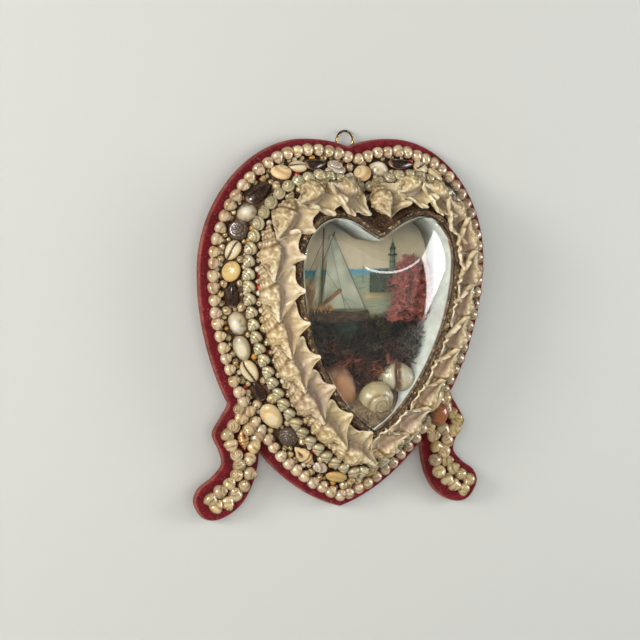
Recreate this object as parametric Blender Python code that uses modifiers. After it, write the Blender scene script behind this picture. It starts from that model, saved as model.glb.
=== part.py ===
"""A sailors' valentine: a velvet-covered heart on two scrolled feet, with rows of shells
climbing a sloped bed to a domed glass heart, hung by a brass ring behind its notch.

Metres, +Z up, +X to the right as seen from the front, and the front faces -Y.
The origin is the inner top of the hanging ring, in the plane of the board's back.
"""
import math

import bmesh
import bpy
from mathutils import Matrix, Vector

MM = 0.001
GAP = 0.3 * MM  # kept between pieces that touch

# ---- Driving dimensions ----------------------------------------------------------------

RING_WIRE = 1.3 * MM
RING_INNER_RADIUS = 5.9 * MM
HEART_CENTRE_Z = -130.6 * MM  # half-way between the heart's notch and its tip

BOARD_THICKNESS = 5 * MM
BOARD_EDGE_ROUND = 1.5 * MM
CARD_THICKNESS = 1.2 * MM
CARD_FACE_HEIGHT = 16.5 * MM  # heights are measured forward from the board's back
BED_FOOT_HEIGHT = BOARD_THICKNESS + GAP
BED_TOP_HEIGHT = 44.2 * MM
GLASS_EDGE_HEIGHT = 46.4 * MM
GLASS_THICKNESS = 1.9 * MM
GLASS_BULGE = 13 * MM
GLASS_CENTRE = (0, 18)  # middle of the dome's crown, in millimetres from the heart's centre
BEAD_RADIUS = 1.8 * MM

# Right halves of the two hearts, in millimetres from the heart's centre: chains of cubic
# curves (start, handle, handle, end) from the notch over the lobe to the tip.
BOARD_HEART = (
    ((0, 120.5), (8, 124), (20, 126), (33.5, 126)),
    ((33.5, 126), (75, 126), (111.6, 87), (111.6, 42)),
    ((111.6, 42), (111.6, -30), (62, -104), (0, -120.3)),
)
GLASS_HEART = (
    ((0, 63.5), (8, 66.5), (20, 77), (33, 77)),
    ((33, 77), (47, 77), (58.8, 64), (58.8, 45)),
    ((58.8, 45), (58.8, 2), (32, -48), (0, -65)),
)
HALF_END = 3.0  # a place on a half runs from 0 at the notch to 3 at the tip

# The scrolled foot leaves the heart at FOOT_TOP, bends out to a knee and a toe, and
# comes back to it at FOOT_CROTCH.
FOOT_TOP = 2.40
FOOT_CROTCH = 2.62
FOOT_OUTLINE = (
    (87.4, -47.5), (92.5, -56), (98.3, -66.5), (93, -78), (91, -87), (98, -95), (108, -101.8),
    (111.2, -111), (104, -121.6), (92, -122.8), (78, -115.5), (69, -103), (64.5, -88),
)

# How far each line lies on the way from the board's edge (0) to the glass edge (1).
OUTER_ROW = 0.13
BED_FOOT = 0.22
MIDDLE_ROW = 0.37
INNER_ROW = 0.53
PELICAN_ROW = 0.735
BED_TOP = 0.915
BEAD_LINE = 0.953
GLASS_EDGE = 1.0
BED_WALL = 1.04
CARD_EDGE = 1.052

OUTER_SHELL_RADIUS = 4.4 * MM
OUTER_SHELL_COUNT = 88
INNER_SHELL_RADIUS = 4.4 * MM
INNER_SHELL_COUNT = 72
FOOT_SHELL_RADIUS = 4.2 * MM
FOOT_SHELL_COUNT = 16
STRING_SIDES = 5

# Pelican's foot shells follow each other round the glass, lower end first. All measures
# of one shell are in millimetres: (place along it, body radius, height of its axis,
# reach of the flared lip, height of the lip, lean of the lip along the shell).
PELICAN_SECTIONS = (
    (-22, 0.6, 3.6, 0, 0, 0),
    (-15, 3.0, 4.2, 0, 0, 0),
    (-8, 5.8, 5.6, 7.0, 5.0, 0),
    (-3, 7.8, 6.8, 17.0, 5.5, -5),
    (2, 7.8, 7.2, 12.0, 7.0, 0),
    (6, 5.4, 7.6, 17.0, 8.5, 1),
    (11, 2.8, 10.0, 8.0, 9.5, 1),
    (17, 0.8, 13.0, 0, 0, 0),
)
PELICAN_TURN = 20  # degrees that a shell's lower end turns towards the glass
PELICAN_LINE_LIFT = 6 * MM
# Even runs, down the left side and up the right: (first and last distance from the notch
# along the whole line in millimetres, count, scale).
PELICAN_RUNS = (
    (26.0, 253.7, 10, 1.0),
    (283.0, 465.0, 9, 0.92),
)
# The last three crowd up to the notch: (distance from it in millimetres, turn and lean in
# degrees, scale, shift towards the glass and lift off the ground in millimetres).
PELICAN_NOTCH_SHELLS = (
    (48, 19, 0, 0.82, 0, 0),
    (28, 24, 0, 0.76, 0, 1),
    (5, 70, 12, 0.68, 3.5, 1),
)

MIDDLE_LINE_LIFT = 4.8 * MM
# The unlike shells of the middle row, in millimetres: (kind, distance down its side from
# the notch, half length, half width, height, turn in degrees from the row).
MIDDLE_LEFT = (
    ("pearl_shell", 17.0, 7.0, 6.2, 6.0, 20),
    ("mussel", 33.9, 7.6, 5.2, 5.5, 5),
    ("cowrie", 47.6, 5.8, 4.6, 5.5, -20),
    ("round_shell", 61.2, 6.9, 6.9, 7.5, 0),
    ("mussel", 82.5, 9.0, 5.6, 6.0, -15),
    ("limpet", 98.0, 6.3, 6.2, 5.5, 0),
    ("top_shell", 111.4, 6.8, 6.8, 7.5, 0),
    ("cowrie", 125.4, 6.6, 4.7, 6.0, -25),
    ("yellow_shell", 139.2, 6.9, 6.8, 7.0, 0),
    ("mussel", 155.2, 7.6, 4.4, 5.5, -8),
    ("limpet", 174.3, 7.4, 6.2, 5.5, 0),
    ("oval_shell", 190.9, 8.2, 5.4, 6.5, 0),
    ("cowrie", 207.3, 7.6, 5.4, 6.5, 10),
    ("mussel", 222.6, 6.9, 4.2, 5.5, 0),
    ("ringed_cowrie", 242.2, 9.0, 6.6, 8.0, 0),
    ("top_shell", 262.3, 7.0, 7.0, 7.0, 0),
    ("whelk", 280.5, 9.3, 5.0, 8.0, 0),
    ("pearl_shell", 296.2, 5.4, 4.8, 5.0, 0),
    ("yellow_shell", 310.6, 7.6, 6.0, 6.5, 0),
)
MIDDLE_RIGHT = (
    ("round_shell", 3.9, 6.4, 6.4, 7.0, 0),
    ("limpet", 18.4, 6.6, 6.2, 5.5, 0),
    ("mussel", 36.0, 9.0, 5.0, 5.5, 0),
    ("cowrie", 51.8, 5.8, 5.0, 6.0, 40),
    ("round_shell", 64.8, 6.2, 6.2, 7.0, 0),
    ("mussel", 81.0, 8.4, 5.0, 5.5, 0),
)
MIDDLE_FAR_START = 92 * MM  # from here to the tip the right side's shells are one string
MIDDLE_FAR_END = 311 * MM
MIDDLE_FAR_RADIUS = MIDDLE_LINE_LIFT - GAP
MIDDLE_FAR_COUNT = 16

# Line of the shells down the outer side of the right foot, round the toe and back up.
FOOT_SHELL_LINE = (
    (84.5, -50), (86.5, -58), (90.2, -66), (86.5, -74), (82.8, -82), (83.2, -89.5), (87.5, -97),
    (95, -103), (102, -108), (102, -114), (93.5, -115), (85, -110), (78, -102.5), (73.8, -94),
    (72, -86), (73.6, -78), (77.5, -70), (80, -64),
)

RING_STRAP_WIDTH = 6 * MM
RING_STRAP_SHEET = 0.8 * MM

# ---- Lines of the hearts ---------------------------------------------------------------


def cubic_point(curve, t):
    """Return the point at t on a cubic curve of four (x, z) points, in millimetres."""
    weights = ((1 - t) ** 3, 3 * (1 - t) ** 2 * t, 3 * (1 - t) * t * t, t ** 3)
    return (
        sum(weight * point[0] for weight, point in zip(weights, curve)),
        sum(weight * point[1] for weight, point in zip(weights, curve)),
    )


def half_point(heart, place):
    """Return the (x, z) point of a heart's right half at a place from 0 to HALF_END."""
    index = min(int(place), len(heart) - 1)
    return cubic_point(heart[index], place - index)


def heart_point(share, place, side, height):
    """Return the point at a share of the way from the board's edge to the glass edge."""
    outer = half_point(BOARD_HEART, place)
    inner = half_point(GLASS_HEART, place)
    x = outer[0] + (inner[0] - outer[0]) * share
    z = outer[1] + (inner[1] - outer[1]) * share
    return Vector((side * x * MM, -height, z * MM + HEART_CENTRE_Z))


def even_places(count):
    """Return count + 1 places from notch to tip, evenly spaced along the middle heart."""
    fine = [HALF_END * i / 400 for i in range(401)]
    points = [heart_point(0.6, place, 1, 0) for place in fine]
    lengths = [0.0]
    for first, second in zip(points, points[1:]):
        lengths.append(lengths[-1] + (second - first).length)
    places = []
    for i in range(count + 1):
        wanted = lengths[-1] * i / count
        nearest = min(range(len(fine)), key=lambda k: abs(lengths[k] - wanted))
        places.append(fine[nearest])
    return places


def heart_loop(share, height, half_count):
    """Return a closed heart of 2 * half_count points: down the left side, up the right."""
    places = even_places(half_count)
    left = [heart_point(share, place, -1, height) for place in places]
    right = [heart_point(share, place, 1, height) for place in reversed(places[1:-1])]
    return left + right


def bed_height(share):
    """Return the height of the ground at a share: the board's face, then the slope."""
    if share < BED_FOOT:
        return BOARD_THICKNESS
    climb = (share - BED_FOOT) / (BED_TOP - BED_FOOT)
    return BED_FOOT_HEIGHT + climb * (BED_TOP_HEIGHT - BED_FOOT_HEIGHT)


class Route:
    """A line that shells are glued along, run at a height off the ground under them."""

    def __init__(self, points, inward, closed, line_lift=0.0):
        self.line_lift = line_lift
        self.points = points
        self.inward = inward
        self.closed = closed
        ends = points[1:] + points[:1] if closed else points[1:]
        self.marks = [0.0]
        for first, second in zip(points, ends):
            self.marks.append(self.marks[-1] + (second - first).length)
        self.length = self.marks[-1]

    def sample(self, distance):
        """Return the point and the inward direction at a distance along the line."""
        if self.closed:
            distance %= self.length
        distance = min(max(distance, 0.0), self.length)
        index = 0
        while index < len(self.marks) - 2 and self.marks[index + 1] < distance:
            index += 1
        following = (index + 1) % len(self.points)
        span = self.marks[index + 1] - self.marks[index]
        part = (distance - self.marks[index]) / span
        point = self.points[index].lerp(self.points[following], part)
        return point, self.inward[index].lerp(self.inward[following], part)

    def frame(self, distance, lift):
        """Return the seat at a distance: x along the line, y inward, z off the ground."""
        reach = 2 * MM
        point, inward = self.sample(distance)
        along = (self.sample(distance + reach)[0] - self.sample(distance - reach)[0]).normalized()
        off = along.cross(inward).normalized()
        inward = off.cross(along)
        seat = Matrix((along, inward, off)).transposed().to_4x4()
        seat.translation = point + off * (lift - self.line_lift)
        return seat


def row_route(share, line_lift):
    """Return the closed line at a share, from the notch down the left side and round.

    The line runs line_lift off the ground, through the middles of the row's shells.
    """
    step = 0.01
    height = bed_height(share)
    next_height = height if share < BED_FOOT else bed_height(share + step)
    places = even_places(60)
    walk = [(place, -1) for place in places] + [(place, 1) for place in reversed(places[1:-1])]
    ground = [heart_point(share, place, side, height) for place, side in walk]
    beyond = [heart_point(share + step, place, side, next_height) for place, side in walk]
    inward = [(second - first).normalized() for first, second in zip(ground, beyond)]
    points = []
    for i, point in enumerate(ground):
        along = ground[(i + 1) % len(ground)] - ground[i - 1]
        points.append(point + along.cross(inward[i]).normalized() * line_lift)
    return Route(points, inward, closed=True, line_lift=line_lift)


def smooth_line(points, steps):
    """Return a Catmull-Rom line through (x, z) points, without its first and last gap."""
    line = []
    for before, start, end, after in zip(points, points[1:], points[2:], points[3:]):
        for i in range(steps):
            t = i / steps
            line.append(tuple(
                0.5 * (2 * b + (c - a) * t + (2 * a - 5 * b + 4 * c - d) * t * t
                       + (3 * b - a - 3 * c + d) * t ** 3)
                for a, b, c, d in zip(before, start, end, after)
            ))
    line.append(points[-2])
    return line


def board_outline():
    """Return the board's whole outline as (x, z) points in metres, feet included."""
    upper_steps = 26
    lower_steps = 7
    upper = [half_point(BOARD_HEART, FOOT_TOP * i / upper_steps) for i in range(upper_steps + 1)]
    lower = [
        half_point(BOARD_HEART, FOOT_CROTCH + (HALF_END - FOOT_CROTCH) * i / lower_steps)
        for i in range(lower_steps + 1)
    ]
    foot = smooth_line([upper[-2], upper[-1], *FOOT_OUTLINE, lower[0], lower[1]], steps=2)
    half = upper[:-1] + foot + lower[1:]
    whole = half + [(-x, z) for x, z in reversed(half[1:-1])]
    return [(x * MM, z * MM + HEART_CENTRE_Z) for x, z in whole]


# ---- Makers ----------------------------------------------------------------------------


def make_material(name, colour, roughness, metallic=0.0):
    """Return a plain material of one finish."""
    material = bpy.data.materials.new(name)
    material.use_nodes = True
    shader = material.node_tree.nodes["Principled BSDF"]
    shader.inputs["Base Color"].default_value = (*colour, 1)
    shader.inputs["Roughness"].default_value = roughness
    shader.inputs["Metallic"].default_value = metallic
    return material


def add_mesh(collection, name, shape, material):
    """Turn a bmesh into a named object with outward faces."""
    bmesh.ops.recalc_face_normals(shape, faces=shape.faces)
    mesh = bpy.data.meshes.new(name)
    shape.to_mesh(mesh)
    shape.free()
    mesh.materials.append(material)
    mesh.shade_smooth()
    mesh.set_sharp_from_angle(angle=math.radians(40))
    piece = bpy.data.objects.new(name, mesh)
    collection.objects.link(piece)
    return piece


def loft(sections, joined):
    """Return a closed bmesh through rings of points, its ends joined or capped."""
    shape = bmesh.new()
    rings = [[shape.verts.new(point) for point in section] for section in sections]
    following = rings[1:] + rings[:1] if joined else rings[1:]
    for ring, after in zip(rings, following):
        for i in range(len(ring)):
            j = (i + 1) % len(ring)
            shape.faces.new((ring[i], ring[j], after[j], after[i]))
    if not joined:
        shape.faces.new(rings[0])
        shape.faces.new(rings[-1])
    return shape


def flat_plate(collection, name, outline, back_height, thickness, edge_round, material):
    """Add a plate cut to an outline, with its back at a height and its edges rounded."""
    curve = bpy.data.curves.new(name, "CURVE")
    curve.dimensions = "2D"
    curve.fill_mode = "BOTH"
    curve.extrude = thickness / 2 - edge_round
    curve.bevel_depth = edge_round
    curve.bevel_resolution = 0
    curve.offset = -edge_round
    spline = curve.splines.new("POLY")
    spline.points.add(len(outline) - 1)
    for point, (x, z) in zip(spline.points, outline):
        point.co = (x, z, 0, 1)
    spline.use_cyclic_u = True
    curve.materials.append(material)
    plate = bpy.data.objects.new(name, curve)
    plate.rotation_euler = (math.pi / 2, 0, 0)
    plate.location = (0, -(back_height + thickness / 2), 0)
    collection.objects.link(plate)
    return plate


def shell_string(collection, name, route, count, radius, profile, material):
    """Add shells glued side by side along a route, fused where they touch.

    The route runs through their middles. profile holds pairs: a place within one shell,
    from -0.5 to 0.5, and the share of the radius there.
    """
    pitch = route.length / count
    stations = [
        ((i + 0.5 + place) * pitch, radius * share) for i in range(count) for place, share in profile
    ]
    if not route.closed:
        stations.append((route.length, radius * profile[0][1]))
    angles = [math.tau * (k + 0.5) / STRING_SIDES for k in range(STRING_SIDES)]
    sections = []
    for distance, ring in stations:
        seat = route.frame(distance, route.line_lift)
        sections.append([
            seat @ Vector((0, ring * math.cos(angle), ring * math.sin(angle))) for angle in angles
        ])
    return add_mesh(collection, name, loft(sections, joined=route.closed), material)


ROUND_PROFILE = ((-0.5, 0.55), (0.0, 1.0))
CONE_PROFILE = ((-0.4, 1.0), (0.4, 0.5))


def seat_shape(shape, seat, floor=GAP):
    """Flatten a shape's underside at the floor and move it to its seat."""
    for vertex in shape.verts:
        vertex.co.z = max(vertex.co.z, floor)
    bmesh.ops.dissolve_degenerate(shape, dist=1e-5, edges=shape.edges)
    bmesh.ops.transform(shape, matrix=seat, verts=shape.verts)


def pelican_shape():
    """Return a pelican's foot shell: a knobbed spindle with a lip in two long fingers."""
    sections = []
    for place, radius, axis, reach, lip_height, lean in PELICAN_SECTIONS:
        x = place * MM
        lip = (x + lean * MM, max(reach, radius) * MM, (lip_height or axis) * MM)
        foot = max(axis - radius, 0.3) * MM
        r = radius * MM
        z = axis * MM
        sections.append([
            Vector((x, -0.7 * r, foot)),
            Vector((x, -r, z)),
            Vector((x, -0.3 * r, z + r)),
            Vector((x, 0.5 * r, z + 0.75 * r)),
            Vector(lip),
            Vector((x, 0.6 * r, foot)),
        ])
    return loft(sections, joined=False)


def add_pelican(collection, index, seat, material, turn=PELICAN_TURN, lean=0, scale=1.0):
    """Add one pelican's foot shell on its seat, turned towards the glass and leaned back."""
    shape = pelican_shape()
    pose = Matrix.Rotation(math.radians(turn), 4, "Z") @ Matrix.Rotation(math.radians(lean), 4, "Y")
    bmesh.ops.transform(shape, matrix=pose @ Matrix.Scale(scale, 4), verts=shape.verts)
    seat_shape(shape, seat)
    return add_mesh(collection, f"pelican_foot_shell_{index:02d}", shape, material)


def domed_shape(sides, rings):
    """Return a unit ball whose poles lie along x."""
    shape = bmesh.new()
    quarter_turn = Matrix.Rotation(math.pi / 2, 4, "Y")
    bmesh.ops.create_uvsphere(shape, u_segments=sides, v_segments=rings, radius=1, matrix=quarter_turn)
    return shape


def cowrie_shape():
    """Return an egg with a groove along its top."""
    shape = domed_shape(sides=8, rings=4)
    for vertex in shape.verts:
        if vertex.co.z > 0.7 and abs(vertex.co.y) < 0.1:
            vertex.co.z *= 0.8
        vertex.co.y *= 1 - 0.15 * vertex.co.x
    return shape


def mussel_shape():
    """Return a low drop with its beak at -x."""
    shape = domed_shape(sides=8, rings=4)
    for vertex in shape.verts:
        vertex.co.y *= 0.8 + 0.35 * vertex.co.x
    return shape


def turned_shape(profile, sides):
    """Return a closed round shape from (radius, height) pairs, lowest first."""
    sections = [
        [
            Vector((radius * math.cos(angle), radius * math.sin(angle), height))
            for angle in (math.tau * k / sides for k in range(sides))
        ]
        for radius, height in profile
    ]
    return loft(sections, joined=False)


def whelk_shape():
    """Return a spindle along x with a stepped spire."""
    shape = turned_shape(
        ((0.1, -1), (0.4, -0.6), (0.5, -0.3), (1.0, 0.0), (0.8, 0.4), (0.2, 1)), sides=6
    )
    bmesh.ops.rotate(shape, verts=shape.verts, matrix=Matrix.Rotation(math.pi / 2, 3, "Y"))
    return shape


# Each kind: its unit shape, and whether that stands on the ground (height 0 to 1) or is
# a ball about its middle (height -1 to 1).
KINDS = {
    "pearl_shell": (lambda: domed_shape(sides=7, rings=4), False),
    "round_shell": (lambda: domed_shape(sides=8, rings=4), False),
    "yellow_shell": (lambda: domed_shape(sides=8, rings=4), False),
    "oval_shell": (lambda: domed_shape(sides=8, rings=4), False),
    "cowrie": (cowrie_shape, False),
    "ringed_cowrie": (cowrie_shape, False),
    "mussel": (mussel_shape, False),
    "whelk": (whelk_shape, False),
    "limpet": (lambda: turned_shape(((1.0, 0), (0.85, 0.3), (0.3, 0.95)), sides=9), True),
    "top_shell": (lambda: turned_shape(((0.8, 0), (1.0, 0.3), (0.65, 0.6), (0.2, 1.0)), sides=8), True),
}
KIND_COLOURS = {
    "pearl_shell": (0.62, 0.57, 0.55),
    "round_shell": (0.78, 0.70, 0.56),
    "yellow_shell": (0.80, 0.60, 0.28),
    "oval_shell": (0.72, 0.68, 0.60),
    "cowrie": (0.80, 0.75, 0.66),
    "ringed_cowrie": (0.82, 0.70, 0.48),
    "mussel": (0.06, 0.05, 0.05),
    "whelk": (0.70, 0.56, 0.36),
    "limpet": (0.74, 0.70, 0.62),
    "top_shell": (0.22, 0.20, 0.17),
}


def add_middle_shell(collection, name, entry, seat, material):
    """Add one shell of the middle row from its table entry."""
    kind, _, half_length, half_width, height, turn = entry
    make_shape, stands = KINDS[kind]
    shape = make_shape()
    half_height = height if stands else height / 2
    size = Matrix.Diagonal((half_length * MM, half_width * MM, half_height * MM, 1))
    rise = Matrix.Translation((0, 0, GAP if stands else height / 2 * MM))
    pose = Matrix.Rotation(math.radians(turn), 4, "Z") @ rise @ size
    bmesh.ops.transform(shape, matrix=pose, verts=shape.verts)
    seat_shape(shape, seat, floor=GAP if stands else 0.12 * height * MM)
    return add_mesh(collection, name, shape, material)


# ---- Pieces ----------------------------------------------------------------------------


def make_board(collection):
    """Add the velvet-covered board: a heart on two scrolled feet."""
    velvet = make_material("crimson_velvet", (0.20, 0.012, 0.025), 0.95)
    flat_plate(collection, "velvet_board", board_outline(), 0, BOARD_THICKNESS, BOARD_EDGE_ROUND, velvet)


def make_bed(collection):
    """Add the sloped bed that the shells are set in, open through its middle."""
    half_count = 30
    plaster = make_material("brown_ground", (0.24, 0.14, 0.07), 0.9)
    sections = [
        heart_loop(BED_FOOT, BED_FOOT_HEIGHT, half_count),
        heart_loop(BED_TOP, BED_TOP_HEIGHT, half_count),
        heart_loop(BED_WALL, BED_TOP_HEIGHT, half_count),
        heart_loop(BED_WALL, BED_FOOT_HEIGHT, half_count),
    ]
    add_mesh(collection, "shell_bed", loft(sections, joined=True), plaster)


def make_glass(collection):
    """Add the domed glass heart that closes the bed."""
    clear = make_material("clear_glass", (0.9, 0.95, 0.95), 0.05)
    clear.node_tree.nodes["Principled BSDF"].inputs["Transmission Weight"].default_value = 1
    edge = heart_loop(GLASS_EDGE, GLASS_EDGE_HEIGHT, 22)
    centre = Vector((GLASS_CENTRE[0] * MM, -GLASS_EDGE_HEIGHT, GLASS_CENTRE[1] * MM + HEART_CENTRE_Z))
    shape = bmesh.new()
    rings = []
    for share in (1.0, 0.93, 0.8, 0.6, 0.33):
        rise = Vector((0, -GLASS_BULGE * (1 - share ** 2.6), 0))
        rings.append([shape.verts.new(centre.lerp(point, share) + rise) for point in edge])
    for ring, after in zip(rings, rings[1:]):
        for i in range(len(ring)):
            j = (i + 1) % len(ring)
            shape.faces.new((ring[i], after[i], after[j], ring[j]))
    top = shape.verts.new(centre + Vector((0, -GLASS_BULGE, 0)))
    for i in range(len(rings[-1])):
        shape.faces.new((rings[-1][i], top, rings[-1][(i + 1) % len(rings[-1])]))
    dome = add_mesh(collection, "glass_dome", shape, clear)
    if dome.data.polygons[-1].normal.y > 0:
        dome.data.flip_normals()
    wall = dome.modifiers.new("wall", "SOLIDIFY")
    wall.thickness = GLASS_THICKNESS
    wall.offset = -1


def make_glass_bead(collection):
    """Add the rough bead laid round the glass edge."""
    bead = make_material("gilt_brown_bead", (0.17, 0.10, 0.05), 0.85)
    line = heart_loop(BEAD_LINE, BED_TOP_HEIGHT + GAP + BEAD_RADIUS, 24)
    curve = bpy.data.curves.new("glass_bead", "CURVE")
    curve.dimensions = "3D"
    curve.bevel_depth = BEAD_RADIUS
    curve.bevel_resolution = 0
    spline = curve.splines.new("POLY")
    spline.points.add(len(line) - 1)
    for point, place in zip(spline.points, line):
        point.co = (*place, 1)
    spline.use_cyclic_u = True
    curve.materials.append(bead)
    collection.objects.link(bpy.data.objects.new("glass_bead", curve))


def make_card(collection):
    """Add the card that the sealed picture is painted on, set across the bed's hollow."""
    paper = make_material("picture_card", (0.62, 0.58, 0.50), 0.9)
    outline = [(point.x, point.z) for point in heart_loop(CARD_EDGE, 0, 20)]
    flat_plate(
        collection, "picture_card", outline, CARD_FACE_HEIGHT - CARD_THICKNESS, CARD_THICKNESS, 0.0, paper
    )


def make_ring(collection):
    """Add the brass hanging ring and the strap that holds it to the board's back."""
    brass = make_material("brass", (0.55, 0.36, 0.13), 0.35, metallic=1.0)
    wire = RING_WIRE / 2
    ring_y = GAP + wire
    bpy.ops.mesh.primitive_torus_add(
        major_segments=22, minor_segments=6, major_radius=RING_INNER_RADIUS + wire, minor_radius=wire,
        location=(0, ring_y, -RING_INNER_RADIUS), rotation=(math.pi / 2, 0, 0),
    )
    ring = bpy.context.active_object
    ring.name = "hanging_ring"
    ring.data.materials.append(brass)
    ring.data.shade_smooth()
    for owner in list(ring.users_collection):
        owner.objects.unlink(ring)
    collection.objects.link(ring)

    wire_z = -2 * RING_INNER_RADIUS - wire
    over = ring_y + wire + GAP
    reach = wire + 2 * GAP
    lower_end = wire_z - reach - 7 * MM
    under = [
        (GAP, lower_end), (GAP, wire_z - reach), (over, wire_z - reach + 0.4 * MM),
        (over, wire_z + reach - 0.4 * MM),
    ]
    outside = over + RING_STRAP_SHEET
    strap_profile = under + [
        (outside, wire_z + reach), (outside, wire_z - reach),
        (GAP + RING_STRAP_SHEET, wire_z - reach - 1.2 * MM), (GAP + RING_STRAP_SHEET, lower_end),
    ]
    sections = [
        [Vector((side * RING_STRAP_WIDTH / 2, y, z)) for y, z in strap_profile] for side in (-1, 1)
    ]
    add_mesh(collection, "ring_strap", loft(sections, joined=False), brass)


def make_rows(collection):
    """Add the two pearly rows that go right round the heart."""
    pearl = make_material("cream_pearl", (0.62, 0.54, 0.40), 0.35)
    green = make_material("green_pearl", (0.58, 0.56, 0.44), 0.3)
    outer = row_route(OUTER_ROW, OUTER_SHELL_RADIUS + GAP)
    shell_string(
        collection, "outer_pearl_row", outer, OUTER_SHELL_COUNT, OUTER_SHELL_RADIUS, ROUND_PROFILE, pearl
    )
    inner = row_route(INNER_ROW, INNER_SHELL_RADIUS + GAP)
    shell_string(
        collection, "inner_pearl_row", inner, INNER_SHELL_COUNT, INNER_SHELL_RADIUS, CONE_PROFILE, green
    )


def make_middle_row(collection):
    """Add the unlike shells between the two pearly rows."""
    route = row_route(MIDDLE_ROW, MIDDLE_LINE_LIFT)
    counts = {}
    materials = {}
    places = [(entry, entry[1] * MM) for entry in MIDDLE_LEFT]
    places += [(entry, route.length - entry[1] * MM) for entry in MIDDLE_RIGHT]
    for entry, distance in places:
        kind = entry[0]
        counts[kind] = counts.get(kind, 0) + 1
        if kind not in materials:
            materials[kind] = make_material(kind, KIND_COLOURS[kind], 0.35)
        name = f"{kind}_{counts[kind]:02d}"
        add_middle_shell(collection, name, entry, route.frame(distance, 0), materials[kind])

    steps = 60
    span = MIDDLE_FAR_END - MIDDLE_FAR_START
    far = [route.sample(route.length - MIDDLE_FAR_END + span * i / steps) for i in range(steps + 1)]
    far_points = [point for point, _ in far]
    far_route = Route(far_points, [inward for _, inward in far], closed=False)
    shell_string(
        collection, "middle_row_right", far_route, MIDDLE_FAR_COUNT, MIDDLE_FAR_RADIUS, ROUND_PROFILE,
        materials["oval_shell"],
    )


def make_pelican_row(collection):
    """Add the ring of pelican's foot shells round the glass."""
    ochre = make_material("ochre_shell", (0.66, 0.52, 0.32), 0.6)
    route = row_route(PELICAN_ROW, PELICAN_LINE_LIFT)
    count = 0
    for first, last, run_count, scale in PELICAN_RUNS:
        for i in range(run_count):
            distance = (first + (last - first) * i / (run_count - 1)) * MM
            count += 1
            add_pelican(collection, count, route.frame(distance, 0), ochre, scale=scale)
    for distance, turn, lean, scale, shift, lift in PELICAN_NOTCH_SHELLS:
        seat = route.frame(route.length - distance * MM, lift * MM) @ Matrix.Translation((0, shift * MM, 0))
        count += 1
        add_pelican(collection, count, seat, ochre, turn, lean, scale)


def make_foot_shells(collection):
    """Add the string of small shells on each foot."""
    pearl = make_material("foot_pearl", (0.62, 0.54, 0.40), 0.35)
    line = smooth_line(list(FOOT_SHELL_LINE), steps=4)
    for label, side in (("left", -1), ("right", 1)):
        points = [
            Vector((side * x * MM, -BOARD_THICKNESS - GAP - FOOT_SHELL_RADIUS, z * MM + HEART_CENTRE_Z))
            for x, z in line
        ]
        if side > 0:
            points.reverse()
        inward = []
        for i in range(len(points)):
            along = (points[min(i + 1, len(points) - 1)] - points[max(i - 1, 0)]).normalized()
            inward.append(Vector((0, -1, 0)).cross(along))
        route = Route(points, inward, closed=False)
        name = f"foot_shells_{label}"
        shell_string(
            collection, name, route, FOOT_SHELL_COUNT, FOOT_SHELL_RADIUS, ROUND_PROFILE, pearl
        )


def main():
    """Clear the scene and build the whole valentine."""
    for leftover in list(bpy.data.objects):
        bpy.data.objects.remove(leftover, do_unlink=True)
    collection = bpy.data.collections.new("sailors_valentine")
    bpy.context.scene.collection.children.link(collection)
    make_board(collection)
    make_bed(collection)
    make_card(collection)
    make_glass(collection)
    make_glass_bead(collection)
    make_ring(collection)
    make_rows(collection)
    make_middle_row(collection)
    make_pelican_row(collection)
    make_foot_shells(collection)


main()
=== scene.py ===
"""Looks of a sailors' valentine: velvet, seashells, a domed glass heart and the scene in it.

Metres, +Z up, the front faces -Y. The origin is the inner top of the hanging ring.
"""

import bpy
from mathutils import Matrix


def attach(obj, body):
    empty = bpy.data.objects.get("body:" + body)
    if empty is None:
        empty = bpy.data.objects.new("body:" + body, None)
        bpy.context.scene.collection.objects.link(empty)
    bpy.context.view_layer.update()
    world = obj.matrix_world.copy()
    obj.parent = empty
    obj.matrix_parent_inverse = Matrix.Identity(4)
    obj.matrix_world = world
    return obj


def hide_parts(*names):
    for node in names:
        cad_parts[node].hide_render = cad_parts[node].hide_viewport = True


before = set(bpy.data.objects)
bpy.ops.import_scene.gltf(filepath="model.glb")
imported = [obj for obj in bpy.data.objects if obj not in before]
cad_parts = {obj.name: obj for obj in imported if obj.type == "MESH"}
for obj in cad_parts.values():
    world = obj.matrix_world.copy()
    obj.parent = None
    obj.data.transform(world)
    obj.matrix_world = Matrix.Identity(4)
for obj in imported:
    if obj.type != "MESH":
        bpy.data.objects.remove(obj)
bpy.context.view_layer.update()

import logging
import math
import random
from dataclasses import dataclass, field
from enum import Enum
from typing import Callable, Iterable, Sequence

import bmesh
import bpy
from mathutils import Matrix, Vector, noise

LOG = logging.getLogger("valentine")
MM = 0.001
BODY = "root"
NOISE_SEED = 7

Point2 = tuple[float, float]
Point3 = tuple[float, float, float]
Colour = tuple[float, float, float]
Halves = tuple[tuple[Point2, ...], ...]
Shape = bmesh.types.BMesh
Vert = bmesh.types.BMVert
Rule = Callable[[Vert], Colour]
Socket = bpy.types.NodeSocket
Feeds = dict[str | int, object]

WHITE: Colour = (1.0, 1.0, 1.0)
# What a copied shell's foot is multiplied by near the ground: painted shade in the crevice where it sits.
FOOT_SHADE: Colour = (0.30, 0.20, 0.13)


# ---- Small helpers ---------------------------------------------------------------------


def blend(first: Colour, second: Colour, share: float) -> Colour:
    """Return two colours mixed by a share, from the first at 0 to the second at 1."""
    share = min(max(share, 0.0), 1.0)
    return tuple(a + (b - a) * share for a, b in zip(first, second))


def paint(red: float, green: float, blue: float) -> Colour:
    """Return a shader colour from its everyday values, 0 to 255."""
    return tuple((c / 255 / 12.92) if c < 11 else ((c / 255 + 0.055) / 1.055) ** 2.4 for c in (red, green, blue))


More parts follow.
